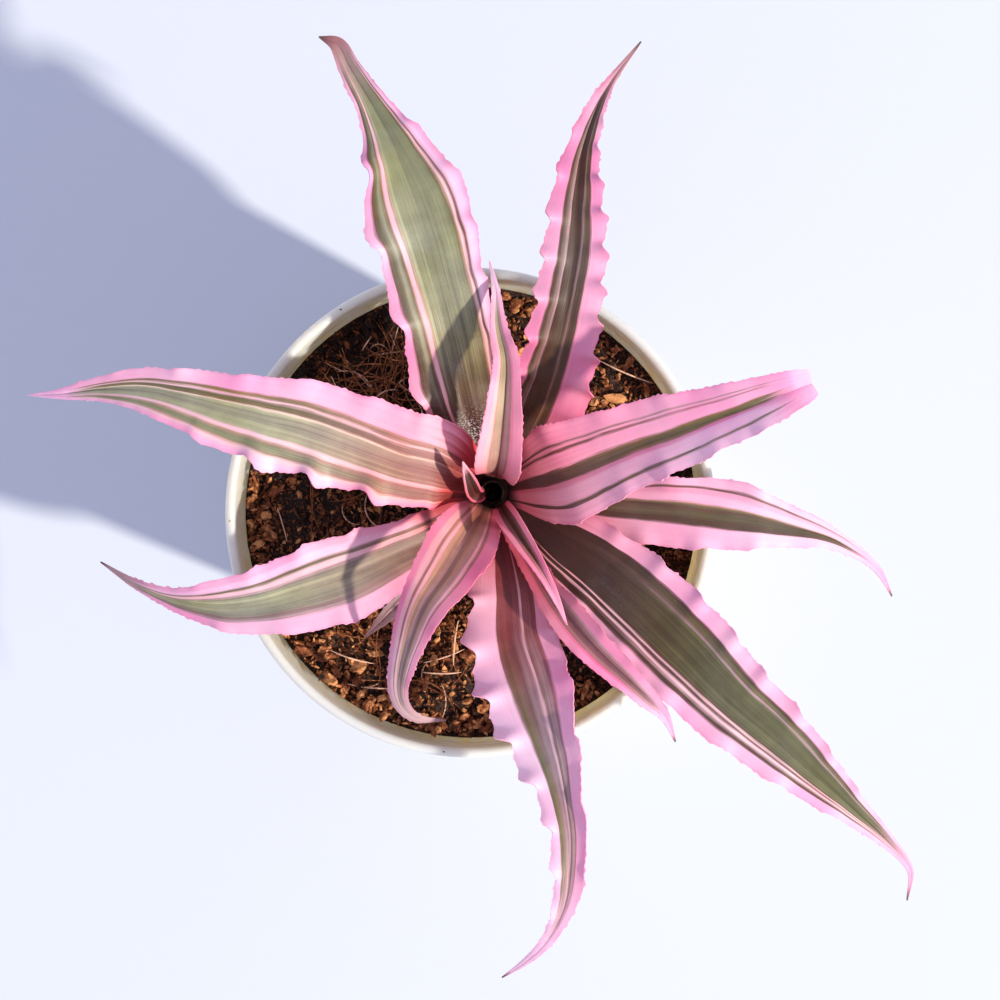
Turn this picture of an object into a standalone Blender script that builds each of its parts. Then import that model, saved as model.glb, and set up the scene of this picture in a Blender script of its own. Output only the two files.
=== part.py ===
"""Potted earth star: a rosette of fourteen waved, toothed leaves on a short stem, in a round pot of soil.

Metres, +Z up. The origin is on the pot's axis, on the plane that its foot ring stands on.
The leaf tables below are in millimetres and are turned into metres as the leaves are built.
"""
import math
from typing import NamedTuple

import bmesh
import bpy
from mathutils import Vector

MM = 0.001
CLEARANCE = 0.3
# A gap round a circle made of flats, which come nearer to the axis than their corners do
ROUND_CLEARANCE = CLEARANCE + 0.1

# Pot
POT_HEIGHT = 105.0
POT_RIM_RADIUS = 60.0
POT_MOUTH_RADIUS = 57.6
POT_FOOT_RADIUS = 44.2
POT_WALL = 1.5
LIP_RADIUS = 1.6
BODY_HEIGHT = 82.5
BODY_TOP_RADIUS = 50.2
# The two sides of the flared collar from its foot up, as (radius, height)
COLLAR_OUTSIDE = ((54.4, 82.9), (55.3, 84.1), (58.2, 95.0))
COLLAR_INSIDE = ((48.7, 84.2), (53.3, 84.6), (53.8, 85.2), (56.7, 95.0))
FOOT_RING_HEIGHT = 3.0
FOOT_RING_WIDTH = 4.0
FOOT_CHAMFER = 0.8
FLOOR_THICKNESS = 2.6
FLOOR_CHAMFER = 2.0
POT_SEGMENTS = 64

# Soil
SOIL_EDGE_HEIGHT = 95.0
# How far the soil's side stays off the step inside the collar, as (radius, height)
SOIL_STEP_GAP = (0.4, 0.45)
SOIL_CROWN = 1.6
SOIL_LUMP = 1.1
SOIL_FOOT_CHAMFER = 3.0
SOIL_STILL_EDGE = 0.5
SOIL_RINGS = 13
SOIL_SEGMENTS = 56

# Stem, whose axis stands beside the pot's axis
STEM_X = 5.3
STEM_Y = 5.0
STEM_FOOT = 72.0
STEM_TOP = 107.5
STEM_DOME = 0.8
STEM_FOOT_RADIUS = 6.2
STEM_TOP_RADIUS = 3.0
STEM_FOOT_CHAMFER = 1.5
STEM_SEGMENTS = 20
HOLE_OVERRUN = 10.0

# Leaf blades
BLADE_THICKNESS = 0.9
BLADE_COLUMNS = 4
ROW_PITCH = 2.7
TOOTH = 0.6
TIP_HALF_WIDTH = 0.45
FULL_WAVE_HALF_WIDTH = 8.0

# Where the waves, the teeth, the upturned stretch and the fold grow and fade, as shares of a leaf's length
WAVES_GROW = (0.08, 0.24)
WAVES_FADE = (0.72, 0.93)
TEETH_GROW = (0.05, 0.15)
TEETH_FADE = (0.85, 0.97)
UPTURN_GROW = (0.25, 0.42)
UPTURN_FADE = (0.60, 0.80)
FOLD_GROW = (0.0, 0.12)

# How sharp a wave's crest is, how abruptly the outline steps in at it, and where the step sits in the width
CREST_LEAN = 0.6
SHOULDER_LEAN = 0.9
BITE_REACH = 0.5
BITE_INSET = 0.15
# How sharply each movement of the blade gathers towards its margin
BITE_GATHER = 3
FOLD_GATHER = 1.2
WAVE_GATHER = 2
UPTURN_GATHER = 1.6
UPTURN_FROM = 0.4
RIB_STEP = 0.004


class Edge(NamedTuple):
    """One margin of a leaf: the length, rise and outline bite of its waves, where they start, and its fold.

    Some margins also turn up along the middle, and the waves of some fade earlier than those of the others.
    """
    wave: float
    rise: float
    bite: float
    start: float
    fold: tuple
    upturn: float = 0.0
    fade: tuple = WAVES_FADE
    tooth: float = TOOTH


class Leaf(NamedTuple):
    """A leaf: the height and half width at its base, its rib as (x, y, z, half width), its margins and colour."""
    base_height: float
    base_half_width: float
    rib: tuple
    left: Edge
    right: Edge
    colour: tuple
    reach: float = 0.0


OLIVE = (0.33, 0.32, 0.19)
PALE_GREEN = (0.50, 0.50, 0.33)
BROWN = (0.24, 0.15, 0.12)
ROSE = (0.80, 0.46, 0.64)
WITHERED = (0.42, 0.34, 0.38)

# Margins are named as seen from the stem, looking out along the leaf from above.
# A fold is the slope in degrees of that half of the blade at the base, the middle and the tip, up if above 0.
# The outline steps in at the crest of each wave, going outwards, and it steps out where the bite is below 0.
LEAVES = {
    "leaf_top_left": Leaf(
        101.5, 4.2,
        ((-1.5, 27, 113.5, 10.4), (-5, 42.5, 119, 11.3), (-8, 55, 122, 11.8), (-13, 74, 124.5, 12.4),
         (-17, 85, 123.5, 8.3), (-22.7, 96, 120.5, 4.3), (-28.8, 106.5, 118, 2.6), (-31.6, 111.8, 117.8, 1.9),
         (-36.1, 114, 117, TIP_HALF_WIDTH)),
        left=Edge(19.2, 1.5, -2.2, 0.17, (10, 6, 20)),
        right=Edge(12.5, 0.7, 0.9, 0.4, (16, 2, 20)),
        colour=PALE_GREEN),
    "leaf_top_right": Leaf(
        99.2, 3.0,
        ((16.6, 21.5, 107, 9.4), (20.5, 32.9, 114, 9.4), (22.9, 45.7, 120, 8.4), (25, 62.2, 123, 7.6),
         (25.4, 74, 123.5, 6.4), (26.8, 86.2, 121.5, 4), (30.5, 97.4, 118, 2.2), (34.2, 104.1, 115, 1.1),
         (41.2, 113.4, 114, TIP_HALF_WIDTH)),
        left=Edge(9.9, 1.3, -1.8, 0.39, (2, 8, 25)),
        right=Edge(8.1, 1.3, 1.9, 0.72, (12, 8, 25)),
        colour=BROWN),
    "leaf_inner_top": Leaf(
        106.7, 2.8,
        ((6.9, 12.6, 117, 5.4), (7.7, 19.6, 122.5, 4.9), (8.4, 27.8, 126, 3.9), (8.6, 36.3, 126.3, 2.9),
         (6.9, 44.3, 125.1, 1.9), (6.2, 52.8, 123.6, 0.9), (4.8, 59.8, 121.9, TIP_HALF_WIDTH)),
        left=Edge(14, 0.5, 0.3, 0.2, (32, 28, 25)),
        right=Edge(14, 0.5, 0.3, 0.6, (40, 28, 25)),
        colour=ROSE),
    "leaf_right": Leaf(
        104.8, 4.6,
        ((21.7, 9.2, 116, 12.1), (30.9, 12.8, 122, 11), (40.1, 16.4, 128, 9.8), (49.1, 19.3, 133.5, 8.9),
         (57.9, 22.2, 138.5, 7.3), (66.7, 25.2, 143, 6.1), (74.2, 28.1, 145.5, 4.4), (77.9, 29.5, 143, 3.1),
         (79.3, 30, 134, TIP_HALF_WIDTH)),
        left=Edge(16, 0.4, 0.3, 0.3, (18, 12, 20)),
        right=Edge(13, 0.5, 0.6, 0.0, (10, 8, 20)),
        colour=ROSE),
    "leaf_right_low": Leaf(
        98.2, 2.6,
        ((27, 1.4, 102.3, 6.6), (41.4, 0.2, 105.8, 8), (53.4, 0, 108, 8.8), (65.5, -1, 108.5, 8.1),
         (78, -3.5, 106.5, 5), (88, -6.2, 103.5, 2.7), (96.5, -10.7, 99.5, 1.3), (101.4, -15, 96.5, 0.8),
         (105, -20.9, 92.5, TIP_HALF_WIDTH)),
        left=Edge(19, 0.9, 0.8, 0.35, (16, 6, 30)),
        right=Edge(14, 0.6, 0.7, 0.1, (4, 6, 30)),
        colour=OLIVE),
    "leaf_lower_right": Leaf(
        99.8, 3.6,
        ((22, -7.4, 104.8, 9), (31.5, -14.4, 108, 11), (41, -23, 111.3, 12.3), (51.6, -33.6, 114, 12.3),
         (62.3, -44.8, 115, 10.8), (73, -54.2, 114.5, 9.2), (83, -63.3, 113, 6.7), (92.3, -71.6, 110.5, 3.9),
         (101.6, -80, 107, 1.8), (107.6, -87.5, 104, 0.8), (107.4, -95.4, 101, TIP_HALF_WIDTH)),
        left=Edge(12, 0.7, 0.9, 0.2, (14, 8, 20)),
        right=Edge(16, 0.6, 0.8, 0.6, (0, -4, 20)),
        colour=OLIVE),
    "leaf_lower_right_narrow": Leaf(
        103.0, 2.2,
        ((18, -17.7, 111.3, 3.2), (23.7, -25.5, 115.2, 4.4), (30.2, -32.7, 117.2, 4.2), (37.4, -39.3, 117.5, 3.3),
         (43.4, -45.1, 116, 2.2), (47.1, -49.3, 114.5, 1.1), (49.6, -55.3, 112, TIP_HALF_WIDTH)),
        left=Edge(10, 0.7, 0.8, 0.3, (20, 30, 30)),
        right=Edge(12, 0.4, 0.4, 0.0, (18, 15, 30)),
        colour=ROSE),
    "leaf_bottom": Leaf(
        101.6, 3.4,
        ((9.2, -18.8, 107.3, 9.2), (9.9, -30.8, 111, 10.8), (12.8, -40.2, 114.6, 11.6),
         (16.4, -51.5, 118.8, 9.4), (19.7, -61.2, 121.8, 7.1), (21.7, -68.2, 123.2, 5.3), (23.3, -77.3, 123.8, 4.4),
         (23.4, -87, 122.8, 3.7), (22.2, -94.4, 121, 2.6), (18.6, -102.1, 118, 1.5), (13.8, -107.9, 113, 0.9),
         (7.8, -113.2, 107, TIP_HALF_WIDTH)),
        left=Edge(14.9, 0.6, -1.2, 0.31, (3, 12, 20), upturn=4.0),
        right=Edge(11.5, 1.5, 3.2, 0.57, (6, 4, 20)),
        colour=ROSE),
    "leaf_inner_fold": Leaf(
        106.5, 1.6,
        ((9.9, -2.4, 115.5, 2.6), (13.3, -7.6, 121.5, 2.3), (17.3, -14, 125, 1.5), (20.4, -20, 126, 0.9),
         (23.1, -26.5, 125.5, TIP_HALF_WIDTH)),
        left=Edge(12, 0.0, 0.0, 0.0, (50, 45, 30), tooth=0.0),
        right=Edge(12, 0.0, 0.0, 0.0, (50, 45, 30), tooth=0.0),
        colour=ROSE),
    "leaf_inner_lower_left": Leaf(
        105.6, 3.8,
        ((-1.8, -6.9, 117, 8), (-5.9, -13.9, 121.5, 7.5), (-10.6, -20.9, 124, 5.8), (-14.2, -29.5, 123, 4.3),
         (-16.3, -36.2, 119, 3.2), (-17.3, -42.6, 114, 2.4), (-16.2, -47.1, 110.5, 1.8),
         (-12.7, -50.1, 107, 1.1), (-6, -50.9, 103.5, TIP_HALF_WIDTH)),
        left=Edge(16, 0.4, 0.4, 0.2, (26, 30, 32)),
        right=Edge(16, 0.4, 0.4, 0.7, (30, -28, -20)),
        colour=OLIVE),
    "leaf_lower_left": Leaf(
        99.2, 3.6,
        ((-7.4, -5.5, 104, 7), (-17, -10, 107.5, 8.2), (-29, -15.3, 111, 10.4), (-38.5, -18.4, 112.5, 10.2),
         (-48.2, -21, 112.5, 8.5), (-58, -22.1, 111, 6.7), (-65.4, -21.9, 109, 4.6), (-73.1, -20.8, 106, 2.4),
         (-82.2, -17.5, 102, 1.1), (-91.6, -12.3, 97, TIP_HALF_WIDTH)),
        left=Edge(14, 0.5, 0.6, 0.5, (8, 8, 30)),
        right=Edge(14, 0.6, 0.9, 0.1, (10, 6, 30)),
        colour=PALE_GREEN),
    "leaf_left": Leaf(
        103.9, 4.2,
        ((-7.2, 11.2, 113.8, 10.4), (-16.7, 13.2, 118, 11.5), (-28.4, 16.8, 121, 11.7), (-40, 20.1, 123, 11.6),
         (-49.5, 21.8, 123.5, 10.5), (-59, 24.4, 122.5, 8.9), (-69, 27.3, 120.5, 7), (-79, 29.5, 117.5, 5),
         (-89, 29.8, 113.5, 2.9), (-99.5, 28.8, 109, 1.2), (-108, 28.7, 105, TIP_HALF_WIDTH)),
        left=Edge(14.7, 1.6, 2.8, 0.51, (14, 4, 20), fade=(0.42, 0.72)),
        right=Edge(15, 0.5, 0.6, 0.1, (18, 8, 20)),
        colour=PALE_GREEN),
    "leaf_innermost": Leaf(
        108.6, 1.2,
        ((1.4, 4.6, 113, 1.9), (0, 7.8, 117.8, 1.6), (-1.6, 12.2, 121.5, TIP_HALF_WIDTH)),
        left=Edge(12, 0.0, 0.0, 0.0, (30, 30, 30), tooth=0.0),
        right=Edge(12, 0.0, 0.0, 0.0, (30, 30, 30), tooth=0.0),
        colour=BROWN, reach=2.0),
    "leaf_withered": Leaf(
        97.3, 1.3,
        ((-7, -10.5, 99.2, 2), (-14.4, -19.1, 99.8, 2), (-20.4, -25.1, 99.4, 1.7),
         (-26.3, -31, 99, TIP_HALF_WIDTH)),
        left=Edge(9, 0.3, 0.2, 0.0, (20, 25, 30)),
        right=Edge(9, 0.3, 0.2, 0.5, (20, 25, 30)),
        colour=WITHERED),
}


def clear_scene():
    for obj in list(bpy.data.objects):
        bpy.data.objects.remove(obj)


def make_collection(name):
    collection = bpy.data.collections.new(name)
    bpy.context.scene.collection.children.link(collection)
    return collection


def make_material(name, colour, roughness):
    material = bpy.data.materials.new(name)
    material.use_nodes = True
    shader = material.node_tree.nodes["Principled BSDF"]
    shader.inputs["Base Color"].default_value = (*colour, 1.0)
    shader.inputs["Roughness"].default_value = roughness
    shader.inputs["Metallic"].default_value = 0.0
    material.diffuse_color = (*colour, 1.0)
    return material


def add_object(name, mesh, collection, material):
    obj = bpy.data.objects.new(name, mesh)
    obj.data.materials.append(material)
    collection.objects.link(obj)
    return obj


def add_turned(name, profile, segments, collection, material):
    """A body of revolution from (radius, height) points in millimetres, down its outer side, ends on the axis."""
    mesh = bpy.data.meshes.new(name)
    outline = bmesh.new()
    corners = [outline.verts.new((radius * MM, 0.0, height * MM)) for radius, height in profile]
    for first, second in zip(corners, corners[1:]):
        outline.edges.new((first, second))
    outline.to_mesh(mesh)
    outline.free()
    obj = add_object(name, mesh, collection, material)
    screw = obj.modifiers.new("Turn", "SCREW")
    screw.steps = segments
    screw.render_steps = segments
    screw.use_merge_vertices = True
    screw.merge_threshold = 0.00001
    screw.use_smooth_shade = True
    return obj


def body_radius(height):
    """Outer radius of the pot's body under its collar."""
    return POT_FOOT_RADIUS + (BODY_TOP_RADIUS - POT_FOOT_RADIUS) * height / BODY_HEIGHT


def build_pot(collection):
    """A tapered pot with a flared collar under its rounded lip, and a foot ring under its floor."""
    floor = FOOT_RING_HEIGHT + FLOOR_THICKNESS
    lip_arc = [(POT_RIM_RADIUS - LIP_RADIUS * (1.0 - math.sin(angle)),
                POT_HEIGHT - LIP_RADIUS * (1.0 - math.cos(angle)))
               for angle in (math.radians(step) for step in (0, 30, 60, 90))]
    profile = [
        (0.0, floor),
        (body_radius(floor) - POT_WALL - FLOOR_CHAMFER, floor),
        (body_radius(floor + FLOOR_CHAMFER) - POT_WALL, floor + FLOOR_CHAMFER),
        *COLLAR_INSIDE,
        (POT_MOUTH_RADIUS, POT_HEIGHT - 0.5 * LIP_RADIUS),
        (POT_MOUTH_RADIUS + 0.5 * LIP_RADIUS, POT_HEIGHT),
        *lip_arc,
        *reversed(COLLAR_OUTSIDE),
        (BODY_TOP_RADIUS, BODY_HEIGHT),
        (body_radius(FOOT_CHAMFER), FOOT_CHAMFER),
        (POT_FOOT_RADIUS - FOOT_CHAMFER, 0.0),
        (POT_FOOT_RADIUS - FOOT_RING_WIDTH, 0.0),
        (POT_FOOT_RADIUS - FOOT_RING_WIDTH - FOOT_CHAMFER, FOOT_RING_HEIGHT),
        (0.0, FOOT_RING_HEIGHT),
    ]
    material = make_material("pot white", (0.86, 0.84, 0.79), 0.3)
    return add_turned("pot", profile, POT_SEGMENTS, collection, material)


def soil_lift(x, y):
    """Height in millimetres of the lumps of the soil's surface over its mound at a place."""
    broad = math.sin(0.31 * x + 1.3 * math.sin(0.17 * y)) * math.cos(0.27 * y - 0.9 * math.sin(0.21 * x))
    fine = math.sin(0.83 * x + 0.4 * y + 1.1) * math.sin(0.71 * y - 0.36 * x + 0.4)
    return SOIL_LUMP * (0.6 * broad + 0.4 * fine)


def stem_radius(height):
    share = (height - STEM_FOOT) / (STEM_TOP - STEM_FOOT)
    return STEM_FOOT_RADIUS + (STEM_TOP_RADIUS - STEM_FOOT_RADIUS) * share


def build_soil(collection, cutters):
    """The plug of soil, with a lumpy mound on top and a plain hole that the stem stands in."""
    floor = FOOT_RING_HEIGHT + FLOOR_THICKNESS + CLEARANCE
    edge = COLLAR_INSIDE[-1][0] - ROUND_CLEARANCE
    step = [(radius - SOIL_STEP_GAP[0], height + SOIL_STEP_GAP[1]) for radius, height in reversed(COLLAR_INSIDE[:-1])]
    foot = floor + SOIL_FOOT_CHAMFER
    rings = [edge * ring / SOIL_RINGS for ring in range(SOIL_RINGS)]
    crown = [(radius, SOIL_EDGE_HEIGHT + SOIL_CROWN * (1.0 - (radius / edge) ** 2)) for radius in rings]
    profile = crown + [
        (edge, SOIL_EDGE_HEIGHT),
        *step,
        (body_radius(foot) - POT_WALL - ROUND_CLEARANCE, foot),
        (body_radius(floor) - POT_WALL - SOIL_FOOT_CHAMFER, floor),
        (0.0, floor),
    ]
    material = make_material("soil brown", (0.11, 0.045, 0.02), 0.95)
    turned = add_turned("soil", profile, SOIL_SEGMENTS, collection, material)
    mesh = bpy.data.meshes.new_from_object(turned.evaluated_get(bpy.context.evaluated_depsgraph_get()))
    bpy.data.objects.remove(turned)
    for vertex in mesh.vertices:
        inside = math.hypot(vertex.co.x, vertex.co.y) < (edge - SOIL_STILL_EDGE) * MM
        if inside and vertex.co.z > (SOIL_EDGE_HEIGHT - SOIL_LUMP) * MM:
            vertex.co.z += soil_lift(vertex.co.x / MM, vertex.co.y / MM) * MM
    soil = add_object("soil", mesh, collection, material)

    hole = bpy.data.meshes.new("stem hole")
    cylinder = bmesh.new()
    bottom = STEM_FOOT - CLEARANCE
    depth = SOIL_EDGE_HEIGHT + HOLE_OVERRUN - bottom
    radius = (STEM_FOOT_RADIUS + ROUND_CLEARANCE) * MM
    bmesh.ops.create_cone(cylinder, cap_ends=True, segments=STEM_SEGMENTS, depth=depth * MM,
                          radius1=radius, radius2=radius)
    cylinder.to_mesh(hole)
    cylinder.free()
    cutter = bpy.data.objects.new("stem hole", hole)
    cutter.location = (STEM_X * MM, STEM_Y * MM, (bottom + depth / 2.0) * MM)
    cutter.hide_render = True
    cutter.display_type = "WIRE"
    cutters.objects.link(cutter)
    cut = soil.modifiers.new("Stem hole", "BOOLEAN")
    cut.operation = "DIFFERENCE"
    cut.solver = "EXACT"
    cut.object = cutter
    return soil


def build_stem(collection):
    """The short stout stem that the leaves grow from, with its foot in the soil."""
    profile = [
        (0.0, STEM_TOP + STEM_DOME),
        (0.6 * STEM_TOP_RADIUS, STEM_TOP + 0.6 * STEM_DOME),
        (STEM_TOP_RADIUS, STEM_TOP),
        (stem_radius(SOIL_EDGE_HEIGHT), SOIL_EDGE_HEIGHT),
        (STEM_FOOT_RADIUS, STEM_FOOT + STEM_FOOT_CHAMFER),
        (STEM_FOOT_RADIUS - STEM_FOOT_CHAMFER, STEM_FOOT),
        (0.0, STEM_FOOT),
    ]
    material = make_material("stem red brown", (0.30, 0.09, 0.07), 0.6)
    stem = add_turned("stem", profile, STEM_SEGMENTS, collection, material)
    stem.location = (STEM_X * MM, STEM_Y * MM, 0.0)
    return stem


def blend(stations, share):
    """A smooth curve through the stations, read at a share of its chord length."""
    lengths = [0.0]
    for first, second in zip(stations, stations[1:]):
        lengths.append(lengths[-1] + math.dist(first[:3], second[:3]))
    place = min(max(share, 0.0), 1.0) * lengths[-1]
    index = 0
    while index < len(stations) - 2 and place > lengths[index + 1]:
        index += 1
    span = lengths[index + 1] - lengths[index]
    t = (place - lengths[index]) / span

    def slope(at, axis):
        before = max(at - 1, 0)
        after = min(at + 1, len(stations) - 1)
        return (stations[after][axis] - stations[before][axis]) / (lengths[after] - lengths[before])

    values = []
    for axis in range(len(stations[0])):
        start, end = stations[index][axis], stations[index + 1][axis]
        rise, fall = slope(index, axis) * span, slope(index + 1, axis) * span
        values.append((2 * t ** 3 - 3 * t ** 2 + 1) * start + (t ** 3 - 2 * t ** 2 + t) * rise
                      + (3 * t ** 2 - 2 * t ** 3) * end + (t ** 3 - t ** 2) * fall)
    return values


def rib_stations(leaf):
    """The rib's stations, with the first one where the leaf leaves the stem's side."""
    first = leaf.rib[0]
    away = Vector((first[0] - STEM_X, first[1] - STEM_Y)).normalized()
    reach = leaf.reach or stem_radius(leaf.base_height) + CLEARANCE + 0.5 * BLADE_THICKNESS
    start = (STEM_X + away.x * reach, STEM_Y + away.y * reach, leaf.base_height, leaf.base_half_width)
    return (start, *leaf.rib)


def rib_length(stations):
    return sum(math.dist(first[:3], second[:3]) for first, second in zip(stations, stations[1:]))


def between(values, share):
    """Three values, at the base, the middle and the tip, read at a share of the leaf's length."""
    base, middle, tip = values
    if share < 0.5:
        return base + (middle - base) * share * 2.0
    return middle + (tip - middle) * (share - 0.5) * 2.0


def ease(span, value):
    """Rises smoothly from 0 to 1 over a span of values."""
    low, high = span
    t = min(max((value - low) / (high - low), 0.0), 1.0)
    return t * t * (3.0 - 2.0 * t)


def blade_point(leaf, stations, length, share, across, toothed):
    """A point of the blade in millimetres: share runs from base to tip, across from -1 at the right to 1."""
    x, y, z, half_width = blend(stations, share)
    ahead = blend(stations, share + RIB_STEP)
    behind = blend(stations, share - RIB_STEP)
    along = Vector([ahead[axis] - behind[axis] for axis in range(3)]).normalized()
    side = Vector((0.0, 0.0, 1.0)).cross(along).normalized()
    up = along.cross(side)

    edge = leaf.left if across > 0.0 else leaf.right
    out = abs(across)
    turn = 2.0 * math.pi * (share * length / edge.wave + edge.start)
    crest = -math.cos(turn - CREST_LEAN * math.sin(turn))
    shoulder = math.sin(turn - SHOULDER_LEAN * math.sin(turn))
    fold = math.tan(math.radians(between(edge.fold, share))) * ease(FOLD_GROW, share)
    upturn = edge.upturn * ease(UPTURN_GROW, share) * (1.0 - ease(UPTURN_FADE, share))
    room = min(1.0, half_width / FULL_WAVE_HALF_WIDTH)
    lively = room * ease(WAVES_GROW, share) * (1.0 - ease(edge.fade, share))

    bite = edge.bite * BITE_REACH * shoulder - abs(edge.bite) * BITE_INSET
    width = half_width + lively * bite * out ** BITE_GATHER
    if toothed and out == 1.0:
        width += edge.tooth * ease(TEETH_GROW, share) * (1.0 - ease(TEETH_FADE, share))
    lift = half_width * fold * out ** FOLD_GATHER
    lift += lively * edge.rise * crest * out ** WAVE_GATHER
    lift += upturn * max(0.0, out - UPTURN_FROM) ** UPTURN_GATHER
    return Vector((x, y, z)) + side * (across * max(width, TIP_HALF_WIDTH)) + up * lift


def build_leaf(name, leaf, collection):
    """A waved, toothed blade: a grid shaped by the leaf's formula, split into triangles and given its thickness."""
    stations = rib_stations(leaf)
    length = rib_length(stations)
    rows = max(8, round(length / ROW_PITCH))
    mesh = bpy.data.meshes.new(name)
    blade = bmesh.new()
    bmesh.ops.create_grid(blade, x_segments=BLADE_COLUMNS, y_segments=rows, size=1.0)
    for vertex in blade.verts:
        row = round((vertex.co.y + 1.0) * 0.5 * rows)
        toothed = row % 2 == 1
        vertex.co = blade_point(leaf, stations, length, row / rows, -vertex.co.x, toothed) * MM
    bmesh.ops.triangulate(blade, faces=blade.faces[:])
    blade.to_mesh(mesh)
    blade.free()
    material = make_material(name.replace("_", " "), leaf.colour, 0.45)
    obj = add_object(name, mesh, collection, material)
    thickness = obj.modifiers.new("Thickness", "SOLIDIFY")
    thickness.thickness = BLADE_THICKNESS * MM
    thickness.offset = 0.0
    return obj


def main():
    clear_scene()
    part = make_collection("potted earth star")
    cutters = make_collection("cutters")
    build_pot(part)
    build_soil(part, cutters)
    build_stem(part)
    for name, leaf in LEAVES.items():
        build_leaf(name, leaf, part)


main()
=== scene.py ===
"""The looks of a potted earth star: striped, toothed leaves, a stem, loose soil and a white pot.

Everything is in metres, +Z up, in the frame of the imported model. The leaf tables are in millimetres.
"""

import math
import random
from itertools import accumulate
from typing import NamedTuple

import bpy
import numpy as np
from bpy.props import FloatProperty, FloatVectorProperty, IntProperty, PointerProperty
from mathutils import Euler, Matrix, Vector, noise


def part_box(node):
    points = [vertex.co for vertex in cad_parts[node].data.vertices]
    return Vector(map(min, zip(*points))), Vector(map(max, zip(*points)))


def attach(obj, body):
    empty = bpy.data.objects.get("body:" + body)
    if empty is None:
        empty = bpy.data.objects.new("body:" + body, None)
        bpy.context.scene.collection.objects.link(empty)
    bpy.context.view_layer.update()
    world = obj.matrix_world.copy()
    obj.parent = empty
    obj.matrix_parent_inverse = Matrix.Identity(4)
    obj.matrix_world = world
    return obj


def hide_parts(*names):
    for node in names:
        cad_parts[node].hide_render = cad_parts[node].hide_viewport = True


bl_info = {
    "name": "Potted earth star",
    "version": (1, 0, 0),
    "blender": (4, 5, 0),
    "location": "View3D > Sidebar > Earth star",
    "description": "Builds the leaves, stem, soil and pot of an earth star, with a plain stage",
    "category": "Add Mesh",
}

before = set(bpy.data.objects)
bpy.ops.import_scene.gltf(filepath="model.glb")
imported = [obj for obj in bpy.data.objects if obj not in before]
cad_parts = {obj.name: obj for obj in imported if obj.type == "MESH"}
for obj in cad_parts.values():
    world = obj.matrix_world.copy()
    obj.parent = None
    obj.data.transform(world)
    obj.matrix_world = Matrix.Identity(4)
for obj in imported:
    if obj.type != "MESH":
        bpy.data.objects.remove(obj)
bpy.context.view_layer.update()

MM = 0.001
POT_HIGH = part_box("pot")[1]
SOIL_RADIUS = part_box("soil")[1].x - 0.0002
STEM_LOW, STEM_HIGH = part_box("stem")

# The stem and the leaves, in millimetres
STEM_X = 5.3
STEM_Y = 5.0
STEM_FOOT = 72.0
STEM_TOP = 107.5
STEM_FOOT_RADIUS = 6.2
STEM_TOP_RADIUS = 3.0
STEM_RINGS = 34
STEM_SCARS = 7.0
STEM_SEED = 5
CLEARANCE = 0.3
TIP_HALF_WIDTH = 0.16
FULL_WAVE_HALF_WIDTH = 8.0

# Where the waves, the teeth, the upturned stretch and the fold grow and fade, as shares of a leaf's length
WAVES_GROW = (0.08, 0.24)
WAVES_FADE = (0.72, 0.93)
TEETH_GROW = (0.05, 0.15)
TEETH_FADE = (0.85, 0.97)
UPTURN_GROW = (0.25, 0.42)
UPTURN_FADE = (0.60, 0.80)
FOLD_GROW = (0.0, 0.12)
THINNING = (0.9, 1.0)
MARGIN_THINNING = 0.75
TIP_THINNING = 0.8
LEAST_THICKNESS = 0.12

# How sharp a wave's crest is, how abruptly the outline steps in at it, and how each form gathers at the margin
CREST_LEAN = 0.6
SHOULDER_LEAN = 0.9
BITE_REACH = 0.5
BITE_INSET = 0.15
BITE_GATHER = 3
FOLD_GATHER = 1.2
WAVE_GATHER = 2
UPTURN_GATHER = 1.6
UPTURN_FROM = 0.4
RIPPLE_GATHER = 4
RIB_STEP = 0.004

# Fine form of a blade, in millimetres unless it is a share
COLUMN_CROWDING = 1.25
TOOTH_PITCH = (1.1, 2.6)
TOOTH_HEIGHT = (0.08, 0.55)
TOOTH_RISE = 0.68
RIPPLE_LENGTHS = (5.3, 8.7)
RIPPLE_HEIGHT = 0.055
CHANNEL_DEPTH = 0.35
CHANNEL_WIDTH = 0.16
FULL_CHANNEL_HALF_WIDTH = 6.0
DRIFT_SHARES = (0.1, 0.3, 0.5, 0.7, 0.9)

# Colours of the plant, as linear red, green and blue
SHADES = {
    "pale_pink": (0.93, 0.52, 0.70),
    "pink": (0.92, 0.41, 0.595),
    "rose": (0.84, 0.31, 0.48),
    "orchid": (0.76, 0.285, 0.47),
    "hot_pink": (0.80, 0.20, 0.36),
    "cream": (0.80, 0.58, 0.50),
    "blush": (0.88, 0.50, 0.56),
    "green": (0.235, 0.232, 0.125),
    "light_green": (0.38, 0.36, 0.215),
    "grey_green": (0.29, 0.265, 0.18),
    "moss": (0.115, 0.108, 0.045),
    "olive": (0.15, 0.118, 0.055),
    "dark_olive": (0.11, 0.080, 0.038),
    "umber": (0.095, 0.047, 0.027),
    "maroon": (0.060, 0.020, 0.010),
    "wine": (0.235, 0.040, 0.048),
    "gold_brown": (0.23, 0.145, 0.065),
    "brown": (0.14, 0.062, 0.040),
    "taupe": (0.25, 0.15, 0.135),
    "rose_brown": (0.38, 0.17, 0.18),
    "tan": (0.46, 0.28, 0.20),
    "mauve": (0.43, 0.26, 0.275),
    "plum": (0.20, 0.08, 0.095),
    "dry": (0.42, 0.32, 0.36),
}


class Edge(NamedTuple):
    """One margin of a leaf: the length, rise and outline bite of its waves, where they start, and its fold.

    Some margins also turn up along the middle, and the waves of some fade earlier than those of the others.
    """
    wave: float
    rise: float
    bite: float
    start: float
    fold: tuple
    upturn: float = 0.0
    fade: tuple = WAVES_FADE
    tooth: float = 1.0


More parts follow.
